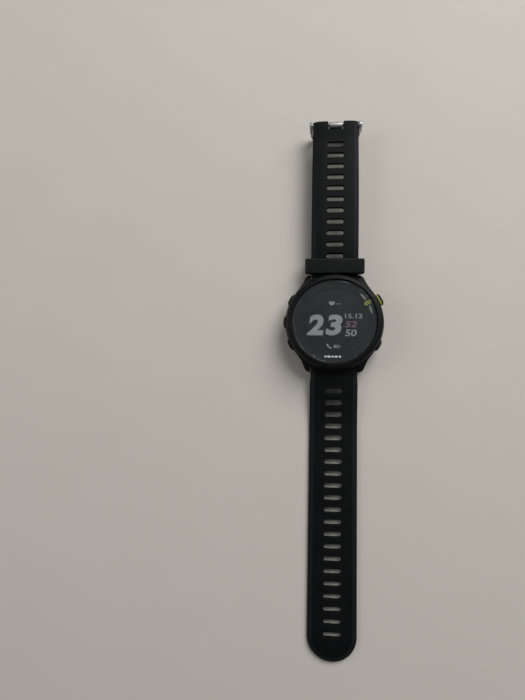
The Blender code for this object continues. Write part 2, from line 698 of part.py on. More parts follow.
def make_keeper():
    """A loop round the upper strap, with room above the strap for the other end."""
    strap_top, slack = upper_height(KEEPER_Y) + thickness(KEEPER_Y) / 2, 0.35 * MM
    middle = strap_top + slack - KEEPER_INSIDE[1] / 2
    place = Matrix.Translation((0, KEEPER_Y, middle)) @ Matrix.Rotation(KEEPER_TILT, 4, "X")
    place = place @ Matrix.Rotation(math.pi / 2, 4, "X")
    outer = rounded_rectangle(*KEEPER_OUTSIDE, 2.0 * MM, 4)
    inner = rounded_rectangle(*KEEPER_INSIDE, 0.8 * MM, 3)
    loop = prism(outer, -KEEPER_HALF_WIDTH, KEEPER_HALF_WIDTH)
    keeper = add("keeper", loop, "strap_silicone", place)
    cut(keeper, "keeper_inside", joined((prism(inner, -5 * MM, 5 * MM), place)))


def main():
    clear_scene()
    make_mid_case()
    make_bezel_and_lens()
    make_back_cover()
    make_screws()
    make_sensor()
    make_charging_port()
    make_inside()
    make_buttons()
    make_upper_strap()
    make_lower_strap()
    make_spring_bar("upper", 1)
    make_spring_bar("lower", -1)
    make_buckle()
    make_keeper()


main()
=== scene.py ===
"""The look of a GPS running watch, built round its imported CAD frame.

Lengths are in metres in the CAD's frame: +Z out of the display, +Y towards twelve o'clock,
+X towards three o'clock, and the watch rests on Z = 0. A strap's own Y is its distance from
the middle of the case, whichever way it points. Turned profiles and the dial's marks are in
millimetres.
"""

import json
import math

import bmesh
import bpy
import numpy as np
from mathutils import Matrix, Vector

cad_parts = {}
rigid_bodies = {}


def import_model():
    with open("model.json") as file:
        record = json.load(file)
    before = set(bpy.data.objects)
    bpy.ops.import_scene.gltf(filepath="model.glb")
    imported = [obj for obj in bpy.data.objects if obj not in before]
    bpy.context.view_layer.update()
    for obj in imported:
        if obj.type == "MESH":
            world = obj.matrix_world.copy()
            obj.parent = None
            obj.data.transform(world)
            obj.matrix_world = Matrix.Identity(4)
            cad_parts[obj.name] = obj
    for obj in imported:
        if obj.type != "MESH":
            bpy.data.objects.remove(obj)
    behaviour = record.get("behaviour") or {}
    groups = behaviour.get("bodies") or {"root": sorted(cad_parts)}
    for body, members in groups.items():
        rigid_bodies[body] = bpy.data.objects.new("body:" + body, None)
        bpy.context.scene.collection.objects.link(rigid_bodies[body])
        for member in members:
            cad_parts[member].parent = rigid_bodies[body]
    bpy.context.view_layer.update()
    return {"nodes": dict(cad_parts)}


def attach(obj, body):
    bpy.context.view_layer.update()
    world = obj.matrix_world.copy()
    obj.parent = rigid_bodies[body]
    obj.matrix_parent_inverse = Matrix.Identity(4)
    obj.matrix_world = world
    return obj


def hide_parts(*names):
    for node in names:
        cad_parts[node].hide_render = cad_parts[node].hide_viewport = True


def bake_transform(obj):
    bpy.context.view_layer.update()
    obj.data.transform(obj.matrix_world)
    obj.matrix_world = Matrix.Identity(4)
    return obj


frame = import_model()
MM = 0.001
QUADRANTS = ((1, 1), (-1, 1), (-1, -1), (1, -1))

# Case
BODY_PROFILE = (
    (18.6, 1.0, 0.3),
    (20.3, 2.4, 0.9),
    (21.0, 4.0, 0.9),
    (21.0, 6.8, 0.9),
    (20.8, 8.2, 0.5),
    (20.5, 9.0, 0.1),
)
BAR_Y, BAR_Z = 18.5 * MM, 4.3 * MM
LUG_TIP_RADIUS = 2.5 * MM
LUG_UNDERSIDE_Z, LUG_TOP_Z = 1.85 * MM, 8.3 * MM
LUG_GAP_HALF = 10.1 * MM
NOTCH_Y, NOTCH_TOP = 16.2 * MM, 7.6 * MM
CAVITY_RADIUS, CAVITY_HALF = 16.2 * MM, 14.4 * MM
RECESS_RADIUS, RECESS_HALF = 17.6 * MM, 15.3 * MM
LEDGE_Z = 2.4 * MM
LENS_RADIUS = 17.65

# Dial, in millimetres and in degrees from three o'clock
BORDER_INNER = 14.2
DISPLAY_LEVEL = 10.01
PRINT_LEVEL, PRINT_RADIUS = 10.315, 15.9
INK_THICKNESS = 0.02 * MM
START_MARK_ANGLE = 30.0
LOW_ROW_Y = -10.75

# Buttons: piece name, angle from three o'clock in degrees
BUTTONS = (
    ("start_button", 27.6),
    ("back_button", -27.6),
    ("light_button", 152.4),
    ("up_button", 180.0),
    ("down_button", 207.6),
)
BUTTON_Z = 6.2 * MM
BUTTON_LENGTH, BUTTON_HEIGHT = 5.2 * MM, 3.0 * MM
BUTTON_BACK, BUTTON_TOP = 20.3, 21.9
START_BACK, START_TOP = 21.58, 22.75
CROWN_DIAMETER = 11 * MM
STEM_RADIUS = 0.8 * MM

# Back
SCREW_PLACES = [(x * 11.6 * MM, y * 10.6 * MM) for x, y in QUADRANTS]
PORT_Y = -10.6 * MM
CONTACT_PITCH = 1.9 * MM
WINDOW_RADIUS = 6.9 * MM

# Strap
STRAP_HALF = 9.9 * MM
RAIL_WIDTH = 1.75 * MM
EYE_RADIUS = 2.1 * MM
BORE_RADIUS = 0.85 * MM
SLOT_FIRST_Y, SLOT_PITCH = 29.1 * MM, 5.0 * MM
SLOT_RADIUS, SLOT_STRAIGHT = 1.0 * MM, 2.6 * MM
CELL_HALF_WIDTH = 4.8 * MM
UPPER_SLOTS, LOWER_SLOTS = 11, 21
TAIL_Y = 129.9 * MM
BUCKLE_Y, BUCKLE_Z = 88.2 * MM, 8.886 * MM
KNUCKLE_RADIUS = 1.7 * MM
NOSE_LENGTH = 8.0 * MM
SLOT_FLARE_REACH = 0.7 * MM

# The looks that stand for each material of the CAD. Its own nodes get the first.
LOOKS = {
    "case_polymer": ("case_polymer", "back_polymer", "button_polymer"),
    "bezel_polymer": ("bezel_polymer", "lens_print"),
    "lens_glass": (
        "display_surface", "lens_glass", "light_segments", "dim_segments", "violet_segments",
        "white_print", "accent_print",
    ),
    "window_glass": ("window_glass",),
    "seal_rubber": ("seal_rubber",),
    "strap_silicone": ("strap_silicone", "lit_keeper_silicone"),
    "steel": ("brushed_steel", "dark_steel"),
    "gold": ("gold_plate",),
    "accent": ("accent_polymer",),
    "circuit": ("circuit_board", "led_ceramic", "green_led", "photodiode"),
    "cell_wrap": ("cell_wrap",),
}
MATERIAL = {}


# ---- making shapes


def smoothstep(t):
    t = max(0.0, min(1.0, t))
    return t * t * (3 - 2 * t)


def spaced(low, high, count):
    return [low + (high - low) * k / count for k in range(count + 1)]


def on_circle(radius, degrees):
    angle = math.radians(degrees)
    return radius * math.cos(angle), radius * math.sin(angle)


def loft(rings, closed=False):
    """A body through rings of points: the last joins the first, or each end has a flat cap."""
    bm = bmesh.new()
    rows = [[bm.verts.new(point) for point in points] for points in rings]
    count = len(rows[0])
    nexts = rows[1:] + rows[:1] if closed else rows[1:]
    for low, high in zip(rows, nexts):
        for i in range(count):
            j = (i + 1) % count
            bm.faces.new((low[i], low[j], high[j], high[i]))
    if not closed:
        bm.faces.new(rows[0])
        bm.faces.new(rows[-1])
    return bm


def circle(radius, z, segments):
    angles = [math.tau * (i + 0.5) / segments for i in range(segments)]
    return [(radius * math.cos(a), radius * math.sin(a), z) for a in angles]


def rounded(corners, closed=False, steps=4):
    """A line of (a, b, radius) corners in millimetres as points in metres, each corner eased."""
    points = []
    count = len(corners)
    for i, (a, b, radius) in enumerate(corners):
        here = Vector((a, b))
        if radius == 0 or (not closed and i in (0, count - 1)):
            points.append(here)
            continue
        before = Vector(corners[i - 1][:2]) - here
        after = Vector(corners[(i + 1) % count][:2]) - here
        start = here + before.normalized() * min(radius, 0.45 * before.length)
        end = here + after.normalized() * min(radius, 0.45 * after.length)
        for k in range(steps + 1):
            t = k / steps
            points.append(start * (1 - t) ** 2 + here * 2 * t * (1 - t) + end * t * t)
    return [(p.x * MM, p.y * MM) for p in points]


def turned(corners, segments, closed=False, steps=4):
    """A solid turned about Z from (radius, height, rounding) corners in millimetres."""
    profile = rounded(corners, closed, steps)
    return loft([circle(r, z, segments) for r, z in profile], closed)


def washer(inner, outer, low, high, segments):
    """A square-edged ring, in millimetres."""
    return turned([(inner, low, 0), (outer, low, 0), (outer, high, 0), (inner, high, 0)], segments, True)


def outline(width, height, radius, level=0.0, steps=8):
    """A rounded rectangle in X and Y."""
    points = []
    for quarter, (sx, sy) in enumerate(QUADRANTS):
        for i in range(steps + 1):
            angle = math.pi / 2 * (quarter + i / steps)
            x = sx * (width / 2 - radius) + radius * math.cos(angle)
            y = sy * (height / 2 - radius) + radius * math.sin(angle)
            points.append((x, y, level))
    return points


def inset_rings(width, height, radius, edge, steps=8):
    """Rounded rectangles, one for each (inset, level) of an edge's profile."""
    return [outline(width - 2 * d, height - 2 * d, radius - d, z, steps) for d, z in edge]


def flattened_circle(radius, half, level):
    """A circle whose top and bottom are cut off flat at half."""
    return [(x, max(-half, min(half, y)), z) for x, y, z in circle(radius, level, 192)]


def prism(points, low, high):
    """An outline in X and Y, extruded along Z."""
    return loft([[(p[0], p[1], z) for p in points] for z in (low, high)])


def box(low, high):
    (x0, y0, z0), (x1, y1, z1) = low, high
    return prism([(x0, y0), (x1, y0), (x1, y1), (x0, y1)], z0, z1)


def rod(radius, low, high, segments=32):
    return loft([circle(radius, low, segments), circle(radius, high, segments)])


def moved(x=0.0, y=0.0, z=0.0):
    return Matrix.Translation((x, y, z))


def along_x(y=0.0, z=0.0):
    """Turns a shape's Z axis to +X and moves it to a line at this Y and Z."""
    return moved(0, y, z) @ Matrix.Rotation(math.pi / 2, 4, "Y")


def radial(degrees, z):
    """Turns a shape's Z axis to point outwards from the case at this angle, at height z."""
    turn = Matrix.Rotation(math.radians(degrees), 4, "Z")
    return moved(z=z) @ turn @ Matrix.Rotation(math.pi / 2, 4, "Y")


def placed(bm, matrix):
    bm.transform(matrix)
    return bm


def together(*parts):
    """Several shapes in one mesh."""
    out = bmesh.new()
    for part in parts:
        mesh = bpy.data.meshes.new("part")
        part.to_mesh(mesh)
        part.free()
        out.from_mesh(mesh)
        bpy.data.meshes.remove(mesh)
    return out


def plain_object(bm):
    bmesh.ops.remove_doubles(bm, verts=bm.verts[:], dist=1e-7)
    bmesh.ops.recalc_face_normals(bm, faces=bm.faces[:])
    mesh = bpy.data.meshes.new("shape")
    bm.to_mesh(mesh)
    bm.free()
    obj = bpy.data.objects.new("shape", mesh)
    bpy.context.scene.collection.objects.link(obj)
    return obj


def taken(obj):
    """An object's shape after its modifiers. The object goes."""
    depsgraph = bpy.context.evaluated_depsgraph_get()
    bm = bmesh.new()
    bm.from_mesh(obj.evaluated_get(depsgraph).to_mesh())
    bpy.data.batch_remove([obj, obj.data])
    return bm


def combined(bm, other, operation="DIFFERENCE"):
    """One shape cut by another, or joined to it with UNION."""
    first, second = plain_object(bm), plain_object(other)
    step = first.modifiers.new("step", "BOOLEAN")
    step.operation = operation
    step.solver = "EXACT"
    step.object = second
    result = taken(first)
    bpy.data.batch_remove([second, second.data])
    return result


def cut(shape, *tools):
    for tool in tools:
        shape = combined(shape, tool)
    return shape


def bevelled(bm, width, segments, degrees=50):
    obj = plain_object(bm)
    step = obj.modifiers.new("step", "BEVEL")
    step.width = width
    step.segments = segments
    step.limit_method = "ANGLE"
    step.angle_limit = math.radians(degrees)
    return taken(obj)


def piece(name, bm, look, place=None, nodes=(), body="case", sharp=35):
    """Makes a visible piece that moves with a CAD body and stands for some of its nodes."""
    if place is not None:
        bm.transform(place)
    obj = plain_object(bm)
    obj.name = name
    obj.data.name = name
    obj.data.shade_smooth()
    obj.data.set_sharp_from_angle(angle=math.radians(sharp))
    obj.data.materials.append(MATERIAL[look])
    if body:
        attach(obj, body)
    if nodes:
        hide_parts(*nodes)
    return obj


# ---- materials


class Finish:
    """A Principled material with the nodes that vary it over the surface."""

    def __init__(self, name, colour, roughness, metallic=0.0, specular=0.5):
        material = bpy.data.materials.new(name)
        material.use_nodes = True
        MATERIAL[name] = material
        self.tree = material.node_tree
        self.shader = self.tree.nodes["Principled BSDF"]
        self.put("Base Color", (*colour, 1.0))
        self.put("Roughness", roughness)
        self.put("Metallic", metallic)
        self.put("Specular IOR Level", specular)
        self.coordinates = self.node("ShaderNodeTexCoord", {}).outputs["Object"]
        self.normal = None

    def put(self, socket, value):
        self.shader.inputs[socket].default_value = value

    def link(self, output, socket):
        self.tree.links.new(output, socket)

    def node(self, kind, sockets, **settings):
        """A new node. Its sockets are set to numbers and colours, or linked to outputs."""
        made = self.tree.nodes.new(kind)
        for key, value in settings.items():
            setattr(made, key, value)
        for socket, value in sockets.items():
            if isinstance(value, bpy.types.NodeSocket):
                self.link(value, made.inputs[socket])
            else:
                made.inputs[socket].default_value = value
        return made

    def stretched(self, scale):
        """The object's coordinates, scaled by (x, y, z)."""
        sockets = {"Vector": self.coordinates, "Scale": scale}
        return self.node("ShaderNodeMapping", sockets).outputs["Vector"]

    def noise(self, size, detail=2.0, vector=None):
        """Noise whose features are about this size."""
        sockets = {"Vector": vector or self.coordinates, "Scale": 1 / size, "Detail": detail}
        return self.node("ShaderNodeTexNoise", sockets).outputs["Fac"]

    def cell_edges(self, size):
        """Distance from the borders of cells of about this size."""
        sockets = {"Vector": self.coordinates, "Scale": 1 / size}
        made = self.node("ShaderNodeTexVoronoi", sockets, feature="DISTANCE_TO_EDGE")
        return made.outputs["Distance"]

    def maths(self, operation, *terms, clamp=False):
        """An operation on outputs and numbers."""
        terms = dict(enumerate(terms))
        return self.node("ShaderNodeMath", terms, operation=operation, use_clamp=clamp).outputs[0]

    def between(self, value, low, high, start=0.3, end=0.7):
        """A number that goes from low to high as value goes from start to end."""
        sockets = {"Value": value, "From Min": start, "From Max": end, "To Min": low, "To Max": high}
        return self.node("ShaderNodeMapRange", sockets).outputs["Result"]

    def mixed(self, value, first, second):
        """A colour between two as value goes from 0 to 1."""
        ends = [(*end, 1.0) if isinstance(end, tuple) else end for end in (first, second)]
        sockets = {"Factor": value, "A": ends[0], "B": ends[1]}
        return self.node("ShaderNodeMix", sockets, data_type="RGBA").outputs["Result"]

    def rail_sheen_mask(self):
        """Where the painted sheen goes: 1 on the rails along both edges of the strap and round its tail, 0
        between them.
        """
        axes = self.node("ShaderNodeSeparateXYZ", {0: self.coordinates}).outputs
        past_tail = self.maths("MINIMUM", self.maths("ADD", axes["Y"], TAIL_Y), 0.0)
        flat = self.node("ShaderNodeCombineXYZ", {"X": axes["X"], "Y": past_tail})
        made = self.node("ShaderNodeVectorMath", {0: flat.outputs[0]}, operation="LENGTH")
        reach = made.outputs["Value"]
        inner, outer, fade = STRAP_HALF - RAIL_WIDTH, STRAP_HALF - 0.25 * MM, 0.15 * MM
        inside = self.between(reach, 0, 1, inner, inner + fade)
        outside = self.between(reach, 1, 0, outer, outer + fade)
        return self.maths("MULTIPLY", inside, outside)

    def colour(self, output):
        self.link(output, self.shader.inputs["Base Color"])

    def roughness(self, output):
        self.link(output, self.shader.inputs["Roughness"])

    def face(self, made):
        """Takes the shader's normal from this node."""
        self.normal = made.outputs["Normal"]
        self.link(self.normal, self.shader.inputs["Normal"])

    def soften(self, radius):
        """Rounds sharp edges in the shading."""
        self.face(self.node("ShaderNodeBevel", {"Radius": radius}, samples=4))

    def bump(self, height, depth, strength):
        sockets = {"Strength": strength, "Distance": depth, "Height": height}
        if self.normal:
            sockets["Normal"] = self.normal
        self.face(self.node("ShaderNodeBump", sockets))


def moulded(name, dark, light, roughness, specular, grain, soften=0.0, rail_sheen=None):
    """Matt moulded plastic or silicone: fine grain, faint handling marks, a little dust.

    The grain's size and the softening of the edges are in millimetres. A rail colour, if given, is painted
    sheen: a lighter colour on the rails along the strap's edges.
    """
    finish = Finish(name, dark, roughness, specular=specular)
    marks = finish.noise(6 * MM, 4)
    settled = finish.between(finish.noise(0.25 * MM, 3), 0, 0.5, 0.62, 0.8)
    worn = finish.maths("MULTIPLY_ADD", finish.between(marks, 0, 1), 0.6, settled, clamp=True)
    colour = finish.mixed(worn, dark, light)
    if rail_sheen:
        # Painted sheen: the strap's rails get a lighter colour, as if they caught the light.
        colour = finish.mixed(finish.rail_sheen_mask(), colour, rail_sheen)
    finish.colour(colour)
    finish.roughness(finish.between(marks, roughness - 0.05, roughness + 0.06))
    if soften:
        finish.soften(soften * MM)
    finish.bump(finish.noise(grain * MM, 2), 0.035 * MM, 0.85)
    finish.bump(finish.noise(1.8 * MM, 2), 0.012 * MM, 0.4)


def metal(name, colour, roughness):
    """Metal brushed along X, with smudges that vary its roughness."""
    finish = Finish(name, colour, roughness, metallic=1.0)
    brushed = finish.noise(0.05 * MM, 3, finish.stretched((0.04, 1.0, 1.0)))
    smudge = finish.noise(2.5 * MM, 3)
    finish.roughness(finish.between(smudge, roughness - 0.06, roughness + 0.1))
    darker = tuple(c * 0.82 for c in colour)
    finish.colour(finish.mixed(finish.between(brushed, 0, 1), darker, colour))
    finish.bump(brushed, 0.004 * MM, 0.5)


def glass(name, tint, roughness):
    """Clear glass with the faintest smears."""
    finish = Finish(name, tint, roughness)
    finish.put("Transmission Weight", 1.0)
    finish.put("IOR", 1.5)
    finish.roughness(finish.between(finish.noise(4 * MM, 4), roughness, roughness + 0.05))


def display_surface():
    """A reflective display: near-black, with the grid of its pixels just visible up close."""
    dark, light = (0.0040, 0.0053, 0.0058), (0.0050, 0.0064, 0.0069)
    finish = Finish("display_surface", dark, 0.5, specular=0.1)
    pixel = 0.14 * MM
    sockets = {"Vector": finish.coordinates, "Scale": 1 / pixel, "Mortar": (*dark, 1), "Mortar Size": 0.08}
    sockets |= {"Color1": (*light, 1), "Color2": (*light, 1), "Brick Width": 1.0, "Row Height": 1.0}
    grid = finish.node("ShaderNodeTexBrick", sockets, offset=0.0, squash=1.0)
    finish.colour(grid.outputs["Color"])
    finish.roughness(finish.between(finish.noise(3 * MM), 0.45, 0.55))


def segments(name, colour):
    """Ink or lit pixels: an even colour, broken up very slightly."""
    finish = Finish(name, colour, 0.55, specular=0.3)
    darker = tuple(c * 0.86 for c in colour)
    finish.colour(finish.mixed(finish.between(finish.noise(0.14 * MM, 1), 0, 1), darker, colour))
    finish.bump(finish.noise(0.1 * MM), 0.003 * MM, 0.4)


def circuit_board():
    """Green solder mask over a net of copper tracks."""
    finish = Finish("circuit_board", (0.02, 0.12, 0.06), 0.4)
    tracks = finish.between(finish.cell_edges(1.1 * MM), 1, 0, 0.03, 0.09)
    finish.colour(finish.mixed(tracks, (0.012, 0.09, 0.04), (0.03, 0.19, 0.08)))
    finish.bump(tracks, 0.03 * MM, 0.6)


def cell_wrap():
    """The battery's crinkled silver wrap."""
    finish = Finish("cell_wrap", (0.4, 0.4, 0.42), 0.4, metallic=0.7)
    crinkle = finish.noise(1.5 * MM, 5)
    finish.roughness(finish.between(crinkle, 0.3, 0.5))
    dark, light = (0.33, 0.33, 0.35), (0.46, 0.46, 0.48)
    finish.colour(finish.mixed(finish.between(crinkle, 0, 1), dark, light))
    finish.bump(crinkle, 0.08 * MM, 0.5)


def floor_surface():
    """A plain pale floor, a little uneven in tone."""
    dark, light = (0.565, 0.53, 0.475), (0.595, 0.56, 0.505)
    finish = Finish("pale_floor", dark, 0.8, specular=0.2)
    finish.colour(finish.mixed(finish.noise(40 * MM, 3), dark, light))


def make_materials():
    # The strap's third colour is painted sheen on its rails.
    dark, light, rail_sheen = (0.0018, 0.002, 0.0023), (0.004, 0.0044, 0.0049), (0.0076, 0.0086, 0.0098)
    moulded("strap_silicone", dark, light, 0.56, 0.12, 0.16, rail_sheen=rail_sheen)
    # The keeper is the strap's silicone painted lighter: painted light on the raised loop.
    moulded("lit_keeper_silicone", (0.005, 0.0054, 0.0058), (0.0086, 0.0092, 0.0098), 0.56, 0.18, 0.16, 0.15)
    moulded("case_polymer", (0.005, 0.0052, 0.0054), (0.009, 0.0094, 0.0098), 0.5, 0.14, 0.13, 0.12)
    moulded("bezel_polymer", (0.0036, 0.0038, 0.004), (0.0062, 0.0065, 0.0068), 0.44, 0.13, 0.11)
    moulded("button_polymer", (0.0048, 0.005, 0.0052), (0.0085, 0.0088, 0.0092), 0.42, 0.2, 0.1)
    moulded("back_polymer", (0.006, 0.0063, 0.0066), (0.01, 0.0104, 0.0108), 0.5, 0.2, 0.12, 0.08)
    moulded("seal_rubber", (0.02, 0.02, 0.02), (0.04, 0.04, 0.04), 0.8, 0.3, 0.08)
    moulded("accent_polymer", (0.46, 0.5, 0.035), (0.56, 0.6, 0.07), 0.45, 0.5, 0.06)
    moulded("lens_print", (0.004, 0.0052, 0.0056), (0.0049, 0.0062, 0.0066), 0.5, 0.1, 0.05)
    moulded("led_ceramic", (0.55, 0.55, 0.5), (0.62, 0.62, 0.58), 0.5, 0.5, 0.05)
    metal("brushed_steel", (0.46, 0.455, 0.445), 0.38)
    metal("dark_steel", (0.2, 0.2, 0.205), 0.35)
    metal("gold_plate", (0.83, 0.62, 0.27), 0.24)
    glass("lens_glass", (0.93, 0.95, 0.95), 0.015)
    glass("window_glass", (0.42, 0.42, 0.44), 0.03)
    segments("light_segments", (0.148, 0.155, 0.158))
    segments("dim_segments", (0.16, 0.167, 0.17))
    segments("violet_segments", (0.088, 0.046, 0.082))
    segments("white_print", (0.46, 0.47, 0.47))
    segments("accent_print", (0.36, 0.4, 0.05))
    segments("green_led", (0.1, 0.42, 0.16))
    segments("photodiode", (0.03, 0.03, 0.045))
    display_surface()
    circuit_board()
    cell_wrap()
    floor_surface()


# ---- the case


def smooth_max(a, b, reach):
    """The larger of a and b, eased where they are within reach of each other."""
    overlap = np.maximum(reach - np.abs(a - b), 0)
    return np.maximum(a, b) + overlap * overlap / (4 * reach)


def smooth_min(a, b, reach):
    return -smooth_max(-a, -b, reach)


def lug_side_reach(theta):
    """How far the hollow outer side of a lug is from the middle, in this direction."""
    y = np.linspace(9.6, 23.0, 120) * MM
    tip_x, swell, length = 12.2 * MM, 5.6 * MM, 11.8 * MM
    x = tip_x + swell * (np.maximum(21.4 * MM - y, 0) / length) ** 1.35
    x -= 0.9 * MM * (np.maximum(y - 19.4 * MM, 0) / (2 * MM)) ** 2
    reach = np.interp(theta, np.arctan2(y, x), np.hypot(x, y))
    low = math.atan2(y[0], x[0])
    return reach - max(0.0, low - theta) * 8 * MM


def lug_end_reach(z):
    """How far along Y a lug goes at each height: a round tip under a sloping back."""
    height = np.clip(z - BAR_Z, -LUG_TIP_RADIUS, LUG_TIP_RADIUS)
    tip = BAR_Y + 1.12 * np.sqrt(LUG_TIP_RADIUS**2 - height**2)
    slope_z = 6.45 * MM
    slope = np.interp(z, [slope_z, LUG_TOP_Z], [BAR_Y + 1.27 * MM, 15.4 * MM])
    end = np.where(z > slope_z, slope, tip)
    inside = (z > LUG_UNDERSIDE_Z) & (z < LUG_TOP_Z)
    return np.where(inside, end, 0.0)


def case_directions():
    """Angles round the case in degrees, closest together over the lugs."""
    quarter = [*np.linspace(0, 28, 15)[:-1], *np.linspace(28, 67, 79), *np.linspace(67, 90, 14)[1:]]
    half = quarter + [180 - angle for angle in reversed(quarter[:-1])]
    return half + [180 + angle for angle in half[1:-1]]


def eased_column(r, z, steps=46):
    """A column's points, evenly spread and averaged over a short stretch."""
    length = np.concatenate([[0], np.cumsum(np.hypot(np.diff(r), np.diff(z)))])
    fine = np.linspace(0, length[-1], 400)
    width = 9
    kernel = np.hanning(2 * width + 1)
    kernel /= kernel.sum()
    eased = []
    for values in (r, z):
        padded = np.pad(np.interp(fine, length, values), width, mode="edge")
        smooth = np.convolve(padded, kernel, "valid")
        at = np.linspace(0, len(smooth) - 1, steps)
        eased.append(np.interp(at, np.arange(len(smooth)), smooth))
    return zip(*eased)


def case_columns():
    """The case's outer surface as columns of points, one for each direction."""
    profile = np.array(rounded(BODY_PROFILE))
    z = np.linspace(profile[0, 1], profile[-1, 1], 420)
    body = np.interp(z, profile[:, 1], profile[:, 0])
    end = lug_end_reach(z)
    start = np.clip((z - LUG_UNDERSIDE_Z) / (0.7 * MM), 0, 1)
    underside = 0.5 * MM * (1 - np.sqrt(1 - (1 - start) ** 2))
    columns = []
    for degree in case_directions():
        theta = math.radians(degree)
        c, s = abs(math.cos(theta)), abs(math.sin(theta))
        side = lug_side_reach(math.atan2(s, c)) - underside
        lug = smooth_min(side, end / max(s, 0.05), 1.0 * MM)
        column = eased_column(smooth_max(body, lug, 0.9 * MM), z)
        columns.append([(r * math.cos(theta), r * math.sin(theta), h) for r, h in column])
    return columns


def make_case():
    shell = loft([list(ring) for ring in zip(*case_columns())])
    cavity = prism(flattened_circle(CAVITY_RADIUS, CAVITY_HALF, 0), 2.0 * MM, 9.5 * MM)
    recess = prism(flattened_circle(RECESS_RADIUS, RECESS_HALF, 0), 0.2 * MM, LEDGE_Z)
    shell = cut(shell, cavity, recess)
    for end in (-1, 1):
        low, high = sorted((end * NOTCH_Y, end * 26.0 * MM))
        shell = cut(shell, box((-LUG_GAP_HALF, low, -MM), (LUG_GAP_HALF, high, NOTCH_TOP)))
    reach = LUG_GAP_HALF + 1.4 * MM
    holes = [placed(rod(0.5 * MM, -reach, reach), along_x(end * BAR_Y, BAR_Z)) for end in (-1, 1)]
    shell = cut(shell, together(*holes))
    gap = 0.3 * MM
    for _, degrees in BUTTONS:
        out = radial(degrees, BUTTON_Z)
        face = outline(BUTTON_HEIGHT + gap, BUTTON_LENGTH + gap, 1.2 * MM)
        bore = rod(STEM_RADIUS + 0.15 * MM, 12.5 * MM, 19.8 * MM)
        shell = cut(shell, placed(prism(face, 19.6 * MM, 23 * MM), out), placed(bore, out))
    piece("case_shell", shell, "case_polymer", nodes=["mid_case"])


def make_bezel_and_lens():
    low = 9.1
    profile = [
        (15.4, low, 0),
        (20.4, low, 0.12),
        (20.35, 9.9, 0.5),
        (20.15, 10.6, 0.7),
        (19.6, 11.25, 0.6),
        (18.7, 11.6, 0.5),
        (18.05, 11.6, 0.16),
        (17.82, 11.35, 0.1),
        (17.82, 10.05, 0),
        (15.4, 10.05, 0),
    ]
    ring = turned(profile, 256, closed=True, steps=5)
    piece("bezel_ring", ring, "bezel_polymer", nodes=["bezel"])
    rim, top = LENS_RADIUS, 11.35
    pane = turned([(rim, 10.35, 0), (rim, 11.1, 0.08), (rim - 0.3, top, 0.1), (rim - 1, top, 0)], 256)
    lens = piece("lens_pane", pane, "lens_glass", nodes=["lens"])
    lens.visible_shadow = False
    mask = washer(BORDER_INNER, rim - 0.05, 10.28, 10.31, 192)
    piece("lens_border_print", mask, "lens_print")


# ---- the dial


def tile(width, height, radius, steps=3):
    """A flat rounded mark, in millimetres."""
    return prism(outline(width * MM, height * MM, radius * MM, steps=steps), 0, INK_THICKNESS)


def hollow_tile(width, height, radius, wall, inner_radius):
    """The outline of such a mark, this wide."""
    outer = outline(width * MM, height * MM, radius * MM)
    inner = outline((width - 2 * wall) * MM, (height - 2 * wall) * MM, inner_radius * MM)
    steps = ((outer, 0), (outer, INK_THICKNESS), (inner, INK_THICKNESS), (inner, 0))
    return loft([[(x, y, z) for x, y, _ in points] for points, z in steps], closed=True)


def digits(text, width, height, weight, slant=0.14):
    """Figures as thin solids, centred and scaled to a width and height in millimetres."""
    curve = bpy.data.curves.new("digits", "FONT")
    curve.body = text
    curve.offset = weight
    curve.shear = slant
    curve.extrude = 0.01
    curve.resolution_u = 6
    obj = bpy.data.objects.new("digits", curve)
    bpy.context.scene.collection.objects.link(obj)
    bm = taken(obj)
    bmesh.ops.remove_doubles(bm, verts=bm.verts[:], dist=1e-5)
    xs, ys = [v.co.x for v in bm.verts], [v.co.y for v in bm.verts]
    middle = Vector(((max(xs) + min(xs)) / 2, (max(ys) + min(ys)) / 2, -0.01))
    scale = Vector((width * MM / (max(xs) - min(xs)), height * MM / (max(ys) - min(ys)), MM))
    for vert in bm.verts:
        vert.co = (vert.co - middle) * scale
    return bm


def heart(width):
    points = []
    for k in range(48):
        t = math.tau * k / 48
        x = 16 * math.sin(t) ** 3
        y = 13 * math.cos(t) - 5 * math.cos(2 * t) - 2 * math.cos(3 * t) - math.cos(4 * t)
        points.append((x * width / 32, y * width / 32))
    return prism(points, 0, INK_THICKNESS)


def handset(size):
    """A telephone handset: a curved bar, wider at its ends."""
    outer, inner = [], []
    middle = size * 0.35
    for k in range(25):
        t = k / 24
        angle = math.radians(170 + 110 * t)
        half = size * (0.1 + 0.12 * smoothstep((abs(t - 0.5) - 0.22) / 0.12))
        for radius, side in ((size * 0.62 + half, outer), (size * 0.62 - half * 0.9, inner)):
            side.append((middle + radius * math.cos(angle), middle + radius * math.sin(angle)))
    return prism(outer + inner[::-1], 0, INK_THICKNESS)


def shown(name, shape, look, x, y, turn=0.0, level=DISPLAY_LEVEL):
    """Puts a flat mark on the display, or on the print round it, at a place in millimetres."""
    place = moved(x * MM, y * MM, level * MM) @ Matrix.Rotation(math.radians(turn), 4, "Z")
    piece(name, shape, look, place)


